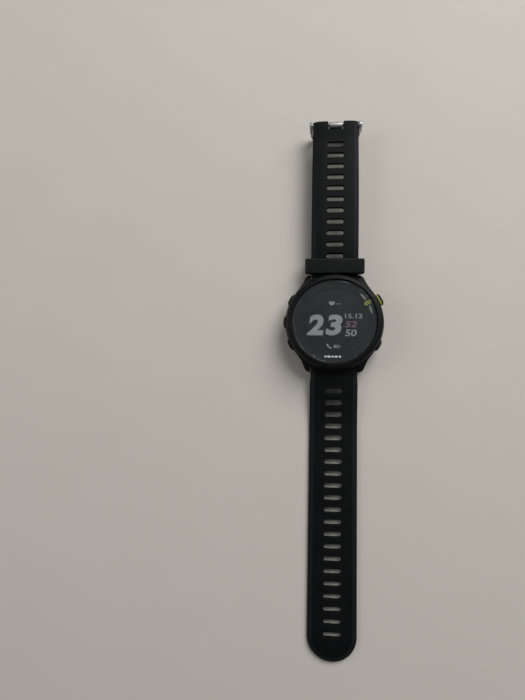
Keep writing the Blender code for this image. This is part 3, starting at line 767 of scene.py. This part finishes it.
def make_dial():
    panel = turned([(0.3, 9.25, 0), (14.3, 9.25, 0.05), (14.3, 10.0, 0.05), (0.3, 10.0, 0)], 160)
    piece("display", panel, "display_surface", nodes=["display_panel"])
    light, dim = "light_segments", "dim_segments"
    shown("hours_tens", digits("2", 7.0, 8.9, 0.045), light, -8.1, -1.62)
    shown("hours_units", digits("3", 7.1, 8.9, 0.045), light, -0.25, -1.62)
    shown("minutes", digits("52", 4.9, 2.6, 0.02), "violet_segments", 6.8, -1.3)
    shown("seconds", digits("50", 4.9, 2.9, 0.02), light, 6.8, -4.95)
    shown("date", digits("15.12", 7.3, 1.9, 0.012, 0.0), dim, 8.0, 2.25)
    shown("heart_mark", heart(2.4 * MM), light, -1.25, 7.65)
    for i, x in enumerate((1.0, 2.15), start=1):
        shown(f"no_reading_{i}", tile(0.8, 0.26, 0.1), dim, x, 7.45)
    shown("handset_mark", handset(2.1 * MM), dim, -2.3, LOW_ROW_Y)
    shown("cell_mark", hollow_tile(2.4, 1.3, 0.3, 0.2, 0.12), dim, 0.8, LOW_ROW_Y)
    shown("cell_level", tile(1.2, 0.55, 0.05, 2), dim, 0.5, LOW_ROW_Y)
    shown("cell_tip", tile(0.25, 0.6, 0.1), dim, 2.2, LOW_ROW_Y)


def make_border_print():
    """Marks printed under the lens, outside the display."""
    x, y = on_circle(PRINT_RADIUS, START_MARK_ANGLE)
    pill = hollow_tile(2.9, 1.3, 0.6, 0.3, 0.3)
    shown("start_mark", pill, "accent_print", x, y, START_MARK_ANGLE, PRINT_LEVEL)
    turns = [side * (7.0 + 2.2 * k) for side in (-1, 1) for k in range(5)]
    for i, turn in enumerate(turns, start=1):
        angle = START_MARK_ANGLE + turn
        x, y = on_circle(PRINT_RADIUS, angle)
        shown(f"tick_{i}", tile(0.7, 0.22, 0.08), "white_print", x, y, angle, PRINT_LEVEL)
    bars = ((-3.7, 0.8), (-2.3, 1.3), (-0.75, 0.8), (0.75, 1.3), (2.3, 0.8))
    for i, (x, width) in enumerate(bars, start=1):
        shown(f"border_bar_{i}", tile(width, 0.75, 0.28, 4), "white_print", x, -15.1, 0, PRINT_LEVEL)


# ---- the back


def make_back_cover():
    edge = rounded([(0.3, 0.7, 0), (0, 0.7, 0.25), (0, 2.0, 0)])
    radius, half = RECESS_RADIUS - 0.15 * MM, RECESS_HALF - 0.15 * MM
    cover = loft([flattened_circle(radius - d, half - d, z) for d, z in edge])
    plateau = turned([(12.6, 0.4, 0), (13.2, 0.4, 0.25), (13.5, 0.8, 0.3), (13.5, 1.5, 0)], 160)
    cover = combined(cover, plateau, "UNION")
    moat = turned([(13.75, 0.5, 0), (14.15, 0.5, 0), (14.15, 0.85, 0.1), (13.75, 0.85, 0.1)], 160, True)
    window = rod(WINDOW_RADIUS + 0.15 * MM, 0, 3 * MM, 128)
    port = placed(prism(outline(8.3 * MM, 3.7 * MM, 0.95 * MM), 0, 3 * MM), moved(y=PORT_Y))
    head, seat, shank = 1.78, 1.65, 0.9
    holes = []
    for x, y in SCREW_PLACES:
        steps = [(head, 0.2, 0), (head, 0.7, 0), (seat, 0.85, 0), (seat, 1.35, 0), (shank, 1.35, 0)]
        holes.append(placed(turned(steps + [(shank, 3, 0)], 40), moved(x, y)))
    cover = cut(cover, moat, window, port, together(*holes))
    piece("back_plate", cover, "back_polymer", nodes=["back_cover"])


def make_screws():
    for i, (x, y) in enumerate(SCREW_PLACES, start=1):
        head = [(0.1, 0.85, 0), (1.5, 0.85, 0.22), (1.5, 1.25, 0.05)]
        screw = turned(head + [(0.75, 1.25, 0), (0.75, 4.2, 0)], 48)
        screw = cut(screw, rod(0.56 * MM, 0.5 * MM, 1.1 * MM, 24))
        for k in range(6):
            lobe = rod(0.26 * MM, 0.5 * MM, 1.12 * MM, 16)
            screw = cut(screw, placed(lobe, moved(*on_circle(0.52 * MM, 60 * k))))
        piece(f"torx_screw_{i}", screw, "dark_steel", moved(x, y), [f"back_cover_screw_{i}"])


def package(width, height, radius):
    """A small part on the sensor board, in millimetres."""
    body = prism(outline(width * MM, height * MM, radius * MM, steps=3), 1.25 * MM, 1.68 * MM)
    return bevelled(body, 0.05 * MM, 2)


def make_sensor():
    outside = [(0.1, 0, 0), (6.1, 0, 0.5), (6.9, 0.45, 0.4), (6.9, 1.6, 0)]
    window = turned(outside + [(5.6, 1.6, 0), (5.6, 0.8, 0), (0.1, 0.8, 0)], 160)
    pane = piece("sensor_lens", window, "window_glass", nodes=["sensor_window"])
    pane.visible_shadow = False
    board = rod(6.3 * MM, 1.7 * MM, 2.1 * MM, 96)
    piece("sensor_base", board, "circuit_board", nodes=["sensor_board"])
    walls = [washer(inner, outer, 1.0, 1.68, 96) for inner, outer in ((2.5, 3.0), (4.95, 5.5))]
    piece("optical_barriers", together(*walls), "seal_rubber")
    for i in range(3):
        centre = moved(*on_circle(1.4 * MM, 90 + 120 * i))
        piece(f"led_package_{i + 1}", package(1.2, 1.2, 0.1), "led_ceramic", centre)
        dome = turned([(0.02, 1.1, 0), (0.3, 1.12, 0.1), (0.42, 1.24, 0)], 32)
        piece(f"led_lens_{i + 1}", dome, "green_led", centre)
    for side, name in ((-1, "left"), (1, "right")):
        place = moved(side * 3.95 * MM)
        piece(f"photodiode_{name}", package(1.4, 2.4, 0.12), "photodiode", place)


def make_charging_port():
    edge = rounded([(0.25, 1.1, 0), (0, 1.1, 0.2), (0, 2.0, 0)])
    block = loft(inset_rings(8 * MM, 3.4 * MM, 0.8 * MM, edge))
    places = [moved((i - 1.5) * CONTACT_PITCH) for i in range(4)]
    for place in places:
        bore = turned([(0.72, 1.0, 0), (0.72, 1.12, 0), (0.55, 1.28, 0.05), (0.55, 2.5, 0)], 32)
        block = cut(block, placed(bore, place))
    down = moved(y=PORT_Y)
    piece("port_block", block, "case_polymer", down, ["charging_port"])
    for i, place in enumerate(places, start=1):
        pin = turned([(0.05, 1.13, 0), (0.3, 1.15, 0.1), (0.45, 1.27, 0.1), (0.45, 2.6, 0)], 32)
        piece(f"gold_contact_{i}", pin, "gold_plate", down @ place, [f"charging_contact_{i}"])


# ---- buttons


def make_buttons():
    """Each cap and its stem, drawn as sections from the inner end of the stem outwards."""
    stem, groove = 2 * STEM_RADIUS, 1.2 * MM
    shaft = [(stem, 15.2), (stem, 15.5), (groove, 15.5), (groove, 15.8), (stem, 15.8)]
    shaft += [(stem, BUTTON_BACK)]
    for name, degrees in BUTTONS:
        start = name == "start_button"
        back, top = (START_BACK, START_TOP) if start else (BUTTON_BACK, BUTTON_TOP)
        rings = [outline(width, width, width / 2, level * MM) for width, level in shaft]
        if start:
            rings += [outline(2.2 * MM, 4.4 * MM, 0.8 * MM, level * MM) for level in (BUTTON_BACK, back)]
        edge = [(0.06, back, 0), (0, back + 0.06, 0), (0, top - 0.25, 0.3), (0.5, top, 0)]
        edge = rounded(edge, steps=5)
        rings += inset_rings(BUTTON_HEIGHT, BUTTON_LENGTH, 1.1 * MM, edge)
        for scale in (0.9, 0.75, 0.55, 0.35, 0.15):
            rings.append([(x * scale, y * scale, top * MM) for x, y, _ in rings[-1]])
        shape = loft(rings)
        for vert in shape.verts:
            share = (vert.co.z / MM - back) / (top - back)
            vert.co.z -= max(0.0, share) * vert.co.y ** 2 / CROWN_DIAMETER
        place = radial(degrees, BUTTON_Z)
        piece(f"{name}_cap", shape, "button_polymer", place, [name], name)
        if start:
            make_accent(place)


def make_accent(place):
    """The coloured collar between the start button's head and the case."""
    low, high = 21.1, 21.5
    outer = rounded([(0.3, low, 0), (0, low, 0.12), (0, high, 0.12), (0.3, high, 0)], steps=3)
    rings = inset_rings(2.9 * MM, 5.1 * MM, 1.05 * MM, outer)
    rings += [outline(2.4 * MM, 4.6 * MM, 0.9 * MM, level * MM) for level in (high, low)]
    collar = loft(rings, closed=True)
    nodes = ["start_button_accent"]
    piece("start_button_collar", collar, "accent_polymer", place, nodes, "start_button")


# ---- the strap


def upper_height(y):
    """Height of the upper strap's middle surface: it rises from the lugs and levels off."""
    return BAR_Z + 4.6 * MM * (1 - math.exp(-(y - BAR_Y) / (12 * MM)))


def thickness(y):
    return 2.3 * MM + 1.1 * MM * max(0.0, 1 - (y - BAR_Y) / (32 * MM)) ** 1.5


def lower_height(y):
    """Height of the lower strap's middle surface: it falls from the lugs to lie flat."""
    return BAR_Z + (thickness(y) / 2 - BAR_Z) * smoothstep((y - BAR_Y) / (27 * MM))


def easing(distance, radius):
    """How far a face has dropped this close to an edge rounded to this radius."""
    if distance >= radius:
        return 0.0
    inward = radius - max(0.0, distance)
    return radius - math.sqrt(max(0.0, radius * radius - inward * inward))


class Strap:
    """One half of the strap: its height, the row of slots, and the round ends that thicken it."""

    def __init__(self, name, height, slots, bosses, tail):
        self.name = name
        self.height = height
        self.slots = slots
        self.bosses = bosses
        self.tail = tail
        self.way = -1 if tail else 1

    def widening(self, y):
        """The strap is a little wider past the lugs, and narrows again to fit the buckle."""
        past_lugs = smoothstep((y - 22.5 * MM) / (4 * MM))
        if self.tail:
            return 1 + 0.03 * past_lugs
        towards_end = smoothstep((y - 60 * MM) / (24 * MM))
        corner = easing(BUCKLE_Y + KNUCKLE_RADIUS - y, 0.8 * MM)
        return 1 + 0.03 * past_lugs - 0.015 * towards_end - corner / STRAP_HALF

    def edge_distance(self, x, y):
        if self.tail and y > TAIL_Y:
            return STRAP_HALF - math.hypot(x, y - TAIL_Y)
        return STRAP_HALF - abs(x)

    def slot_distance(self, x, y):
        i = max(0, min(self.slots - 1, round((y - SLOT_FIRST_Y) / SLOT_PITCH)))
        dy = y - SLOT_FIRST_Y - i * SLOT_PITCH
        return math.hypot(max(abs(x) - SLOT_STRAIGHT, 0), dy) - SLOT_RADIUS

    def faces(self, x, y):
        """The heights of the lower and upper face above one point of the plan."""
        edge, slot = self.edge_distance(x, y), self.slot_distance(x, y)
        thick = thickness(y)
        share = np.interp(edge, [0, 1.84 * MM, 1.96 * MM, 4.4 * MM], [0.1, 0.41, 0.425, 0.5])
        share = 0.5 - (0.5 - share) * smoothstep((y - 19.3 * MM) / (4 * MM))
        high = self.height(y) + share * thick
        low = self.height(y) - thick / 2
        for centre_y, centre_z, radius, outward in self.bosses:
            half = math.sqrt(max(radius**2 - (y - centre_y) ** 2, 0))
            if (y - centre_y) * outward >= 0:
                high, low = centre_z + half, centre_z - half
            elif half > 0:
                high = smooth_max(high, centre_z + half, 0.5 * MM)
                low = smooth_min(low, centre_z - half, 0.5 * MM)
        if not self.tail:
            past = max(0.0, y - BUCKLE_Y) / KNUCKLE_RADIUS
            nose = BUCKLE_Z + KNUCKLE_RADIUS * max(0.0, 1 - past**4) ** 0.25 - (0.5 - share) * thick
            high += (nose - high) * smoothstep((y - BUCKLE_Y + NOSE_LENGTH) / NOSE_LENGTH)
        high -= easing(edge, 0.3 * MM) + easing(slot, 0.25 * MM)
        flare = 0.35 * MM if self.tail else 0.9 * MM
        low += easing(edge, 0.3 * MM) + flare * max(0.0, 1 - max(0.0, slot) / SLOT_FLARE_REACH)
        return low, max(high, low + 0.1 * MM)


def mirrored(columns):
    """The columns down to the middle, and the same again on the other side."""
    return columns + [-x for x in reversed(columns[:-1])]


# Where the strap's points lie: closest together where its faces turn
EDGE_COLUMNS = [STRAP_HALF - step * MM for step in (0, 0.02, 0.07, 0.14, 0.22, 0.3, 1.0, 1.7)]
EDGE_COLUMNS += [STRAP_HALF - step * MM for step in (1.84, 1.96, 2.1, 3.2, 4.4)]
INNER_COLUMNS = [CELL_HALF_WIDTH] + [x * MM for x in (4.25, 3.7, 3.15, 2.6, 1.3, 0)]
ACROSS_CELL = mirrored(INNER_COLUMNS)
ALL_COLUMNS = mirrored(EDGE_COLUMNS + INNER_COLUMNS)
RIM_STEPS = [s * MM for s in (0, 0.02, 0.06, 0.12, 0.2, 0.27, 0.7)]


def grid(plan, rows):
    """Quads between rows of flat points."""
    made = [[plan.verts.new((x, y, 0)) for x, y in row] for row in rows]
    for near, far in zip(made, made[1:]):
        for i in range(len(near) - 1):
            plan.faces.new((near[i], near[i + 1], far[i + 1], far[i]))


def spokes():
    """Where each point round a slot is measured from, and the way it goes, in degrees."""
    right = [(SLOT_STRAIGHT, -45 + 11.25 * k) for k in range(9)]
    top = [(SLOT_STRAIGHT, 56.25 + 11.25 * k) for k in range(4)]
    top += [(x * MM, 90) for x in (1.3, 0, -1.3)]
    top += [(-SLOT_STRAIGHT, 90 + 11.25 * k) for k in range(4)]
    half = right + top
    return half + [(-x, angle + 180) for x, angle in half]


def slot_face(plan, middle, border):
    """The flat face round one slot, out to 40 points on its border."""
    rows = []
    for step in RIM_STEPS:
        row = [(start, *on_circle(SLOT_RADIUS + step, degrees)) for start, degrees in spokes()]
        rows.append([(start + x, middle + y) for start, x, y in row])
    grid(plan, [row + row[:1] for row in rows + [border]])


def cell(plan, middle, rise, top):
    """The strap round one slot, between its two edges, from the foot of rise to the points of top."""
    border = [(CELL_HALF_WIDTH, y) for y in rise] + top
    border += [(-CELL_HALF_WIDTH, y) for y in reversed(rise[:-1])]
    border += [(x, rise[0]) for x in reversed(ACROSS_CELL[1:-1])]
    slot_face(plan, middle, border)
    for side in (-1, 1):
        grid(plan, [[(side * x, y) for x in EDGE_COLUMNS + [CELL_HALF_WIDTH]] for y in rise])


def plain_cell(plan, middle):
    low, high = middle - SLOT_PITCH / 2, middle + SLOT_PITCH / 2
    cell(plan, middle, spaced(low, high, 8), [(x, high) for x in ACROSS_CELL[1:]])


def round_tail(radius, angle):
    return radius * math.cos(angle), TAIL_Y + radius * math.sin(angle)


def tail_cell(plan, middle):
    """The last slot, with the strap's round end beyond it."""
    turns = 20
    angles, fine = spaced(0, math.pi, turns), spaced(0, math.pi, 4 * turns)
    rise = spaced(middle - SLOT_PITCH / 2, TAIL_Y, 4)
    cell(plan, middle, rise, [round_tail(CELL_HALF_WIDTH, a) for a in angles[1:]])
    grid(plan, [[round_tail(x, a) for x in EDGE_COLUMNS] for a in fine])
    for k in range(turns):
        ends = [round_tail(CELL_HALF_WIDTH, a) for a in angles[k:k + 2]]
        outer = [round_tail(EDGE_COLUMNS[-1], a) for a in fine[4 * k:4 * k + 5]]
        plan.faces.new([plan.verts.new((x, y, 0)) for x, y in ends + outer[::-1]])


def strap_solid(strap, cells, rows_before=(), rows_after=()):
    """A length of strap: plain rows, then slots, then plain rows."""
    plan = bmesh.new()
    for rows in (rows_before, rows_after):
        grid(plan, [[(x, y) for x in ALL_COLUMNS] for y in rows])
    for i in cells:
        middle = SLOT_FIRST_Y + i * SLOT_PITCH
        if strap.tail and i == strap.slots - 1:
            tail_cell(plan, middle)
        else:
            plain_cell(plan, middle)
    bmesh.ops.remove_doubles(plan, verts=plan.verts[:], dist=2e-6)
    bmesh.ops.recalc_face_normals(plan, faces=plan.faces[:])
    rim = [edge for edge in plan.edges if edge.is_boundary]
    upper = plan.verts[:]
    lower = bmesh.ops.duplicate(plan, geom=upper + plan.edges[:] + plan.faces[:])["vert_map"]
    for vert in upper:
        low, high = strap.faces(vert.co.x, vert.co.y)
        vert.co.z = high
        lower[vert].co.z = low
    for edge in rim:
        a, b = edge.verts
        plan.faces.new((a, b, lower[b], lower[a]))
    for vert in plan.verts:
        vert.co.x *= strap.widening(vert.co.y)
        vert.co.y *= strap.way
    return plan


def root_rows():
    """Rows of points over the eye and on to the first slot."""
    turns = [math.radians(a) for a in (7, 14, 22, 31, 40, 50, 60, 70, 80, 90)]
    rows = [BAR_Y - EYE_RADIUS * math.cos(turn) for turn in turns]
    past_eye, first_cell = 21 * MM, SLOT_FIRST_Y - SLOT_PITCH / 2
    return rows + spaced(BAR_Y, past_eye, 9)[1:] + spaced(past_eye, first_cell, 6)[1:]


def knuckle_rows():
    """Rows of points from the last slot over the knuckle that holds the buckle."""
    last_cell = SLOT_FIRST_Y + (UPPER_SLOTS - 0.5) * SLOT_PITCH
    fillet = BUCKLE_Y - KNUCKLE_RADIUS - 0.3 * MM
    turns = [math.radians(a) for a in (10, 20, 30, 40, 50, 59, 68, 76, 83)]
    rows = [BUCKLE_Y + KNUCKLE_RADIUS * math.sin(turn) for turn in turns]
    return spaced(last_cell, fillet, 5) + spaced(fillet, BUCKLE_Y, 8)[1:] + rows


def bored(shape, y, z):
    """The shape with a bore for the bar that passes across it here."""
    return cut(shape, placed(rod(BORE_RADIUS, -12 * MM, 12 * MM, 48), along_x(y, z)))


def make_root(strap, slots):
    """The strap from its eye, with the bar's bore and the release lever's slot."""
    y = strap.way * BAR_Y
    shape = bored(strap_solid(strap, range(slots), root_rows()), y, BAR_Z)
    lever = box((3.1 * MM, y - 0.65 * MM, 0), (6.5 * MM, y + 0.65 * MM, BAR_Z))
    return cut(shape, lever)


def make_buckle_end(strap, first_slot):
    """The strap from this slot to the knuckle, with the tang's notch and the bar's bore."""
    shape = strap_solid(strap, range(first_slot, strap.slots), rows_after=knuckle_rows())
    mouth = [(3.2, 0.8, 0.6), (4.1, 1.9, 0), (4.1, 6, 0)]
    mouth += [(-x, y, radius) for x, y, radius in reversed(mouth)]
    floor = [(-3.2, -2.3, 0.5), (3.2, -2.3, 0.5)]
    notch = [(x, y + BUCKLE_Y) for x, y in rounded(floor + mouth, True)]
    return bored(cut(shape, prism(notch, 4 * MM, 14 * MM)), BUCKLE_Y, BUCKLE_Z)


def bending_piece(strap, part, shape, number):
    """A length of strap that stands for this CAD node of its half and the next."""
    bodies = [f"{strap.name}_{number}", f"{strap.name}_{number + 1}"]
    obj = piece(f"{strap.name}_{part}", shape, "strap_silicone", None, bodies, None, sharp=50)
    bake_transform(obj)


def make_straps():
    eye = (BAR_Y, BAR_Z, EYE_RADIUS, -1)
    knuckle = (BUCKLE_Y, BUCKLE_Z, KNUCKLE_RADIUS, 1)
    upper = Strap("upper_strap", upper_height, UPPER_SLOTS, [eye, knuckle], False)
    bending_piece(upper, "root", make_root(upper, 6), 1)
    bending_piece(upper, "end", make_buckle_end(upper, 6), 2)
    lower = Strap("lower_strap", lower_height, LOWER_SLOTS, [eye], True)
    bending_piece(lower, "root", make_root(lower, 7), 1)
    bending_piece(lower, "middle", strap_solid(lower, range(7, 13)), 2)
    bending_piece(lower, "tail", strap_solid(lower, range(13, LOWER_SLOTS)), 3)


# ---- keeper and buckle


def make_keeper():
    """A loop round the upper strap."""
    centre_y, tilt = 25.0 * MM, math.radians(11)
    strap_top = upper_height(centre_y) + thickness(centre_y) / 2
    middle = strap_top + 0.35 * MM - 2.8 * MM
    place = moved(0, centre_y, middle) @ Matrix.Rotation(tilt + math.pi / 2, 4, "X")
    outer = rounded([(1.0, -3.2, 0), (0, -3.2, 0.85), (0, 3.2, 0.85), (1.0, 3.2, 0)], steps=6)
    inner = rounded([(-0.5, 3.2, 0), (0, 3.2, 0.25), (0, -3.2, 0.25), (-0.5, -3.2, 0)])
    rings = inset_rings(25.6 * MM, 8.6 * MM, 2 * MM, outer, 10)
    rings += inset_rings(21 * MM, 5.6 * MM, 0.8 * MM, inner, 10)
    piece("keeper_loop", loft(rings, True), "lit_keeper_silicone", place, ["keeper"], "keeper")


def buckle_place(extra=0.0):
    """The frame is drawn pointing along +Y from its pivot, then folded down and back."""
    drop, reach, offset = BUCKLE_Z - 0.4 * MM, 8.55 * MM, 0.7 * MM
    lean = math.asin(drop / math.hypot(reach, offset)) - math.atan2(offset, reach)
    return moved(0, BUCKLE_Y, BUCKLE_Z) @ Matrix.Rotation(lean - math.pi + extra, 4, "X")


def half_hoop(x, y, radius, steps):
    """Straight up at x, then round a corner to straight across at y, in millimetres."""
    turns = spaced(0, math.pi / 2, steps)
    corner = [(x - radius * (1 - math.cos(a)), y - radius * (1 - math.sin(a))) for a in turns]
    return [(a * MM, b * MM) for a, b in [(x, 0)] + corner]


def make_buckle():
    place = buckle_place()
    outer, inner = half_hoop(11.1, 8.95, 4.2, 16), half_hoop(10.15, 6.85, 1.6, 10)
    ring = outer + [(-x, y) for x, y in outer[::-1]] + [(-x, y) for x, y in inner] + inner[::-1]
    shape = bevelled(prism(ring, -1.1 * MM, 1.1 * MM), 0.4 * MM, 5)
    for side in (-1, 1):
        edge = rounded([(0.2, 10.16, 0), (0, 10.3, 0.1), (0, 11.49, 0.6), (0.7, 11.49, 0)], steps=5)
        edge = [(d, side * x) for d, x in edge]
        ear = loft(inset_rings(3.4 * MM, 5.4 * MM, 1.7 * MM, edge, 12))
        shape = combined(shape, placed(ear, along_x() @ moved(y=MM)), "UNION")
    shape = cut(shape, placed(rod(0.8 * MM, -13 * MM, 13 * MM, 40), along_x()))
    piece("buckle_loop", shape, "brushed_steel", place, ["buckle_frame"], "buckle", sharp=40)
    bar = turned([(0.1, -11.3, 0), (0.7, -11.3, 0.3), (0.7, 11.3, 0.3), (0.1, 11.3, 0)], 40)
    piece("buckle_pin", bar, "brushed_steel", place @ along_x(), ["buckle_bar"], "buckle")


def make_tang():
    under = [(0.4, -0.3, 0), (2.2, 0.1, 0.8), (6.4, 1.2, 0.8), (8.2, 1.2, 0.2), (8.5, 1.5, 0.2)]
    over = [(8.2, 2.0, 0.3), (6.0, 2.1, 0.9), (2.6, 1.25, 0.9), (0.3, 1.2, 0)]
    side = rounded(under + over, True, 5)
    blade = loft([[(x, y, z) for y, z in side] for x in (-2.45 * MM, 2.45 * MM)])
    blade = bevelled(blade, 0.25 * MM, 3, 60)
    root = turned([(0.3, -2.9, 0), (1.5, -2.9, 0.25), (1.5, 2.9, 0.25), (0.3, 2.9, 0)], 64)
    shape = combined(blade, placed(root, along_x()), "UNION")
    shape = cut(shape, placed(rod(0.8 * MM, -4 * MM, 4 * MM, 40), along_x()))
    place = buckle_place(math.radians(13))
    piece("buckle_tongue", shape, "brushed_steel", place, ["buckle_tang"], "buckle_tang", sharp=40)


# ---- carried-over CAD nodes


def finish_cad_nodes():
    """Gives every CAD node that still shows a material of its own kind."""
    for obj in frame["nodes"].values():
        if obj.hide_render:
            continue
        for slot in obj.material_slots:
            name = slot.material.name.split(".")[0]
            slot.material = MATERIAL[LOOKS.get(name, LOOKS["case_polymer"])[0]]


# ---- floor, lights and camera


def make_stage():
    half = 1.5
    corners = [(half * x, half * y) for x, y in QUADRANTS]
    piece("floor", prism(corners, -0.02, -0.00005), "pale_floor", body=None)


def area_light(name, location, size, power):
    data = bpy.data.lights.new(name, "AREA")
    data.energy = power
    data.size = size
    obj = bpy.data.objects.new(name, data)
    bpy.context.scene.collection.objects.link(obj)
    obj.location = location
    obj.rotation_euler = (-Vector(location)).to_track_quat("-Z", "Y").to_euler()


def make_lights():
    """Plain studio light, with the key on the side that the photo is lit from."""
    world = bpy.data.worlds.new("studio")
    bpy.context.scene.world = world
    world.use_nodes = True
    background = world.node_tree.nodes["Background"]
    background.inputs["Color"].default_value = (0.95, 0.98, 1.0, 1)
    background.inputs["Strength"].default_value = 0.16
    area_light("key", (0.45, 0.64, 0.68), 0.7, 10.8)
    area_light("fill", (-0.78, 0.1, 0.5), 0.5, 1.6)


def make_camera():
    """A telephone's camera, held above the watch and tilted by a few degrees."""
    data = bpy.data.cameras.new("camera")
    data.sensor_fit = "HORIZONTAL"
    data.sensor_width = 36
    data.lens = 35.863
    data.clip_start = 0.001
    camera = bpy.data.objects.new("camera", data)
    bpy.context.scene.collection.objects.link(camera)
    camera.location = (-0.008, -0.0377, 0.2304)
    camera.rotation_euler = (math.radians(6.6), math.radians(5.65), math.radians(1.28))
    bpy.context.scene.camera = camera


make_materials()
make_case()
make_bezel_and_lens()
make_dial()
make_border_print()
make_back_cover()
make_screws()
make_sensor()
make_charging_port()
make_buttons()
make_straps()
make_keeper()
make_buckle()
make_tang()
finish_cad_nodes()
make_stage()
make_lights()
make_camera()

bpy.context.scene.view_settings.view_transform = "Standard"
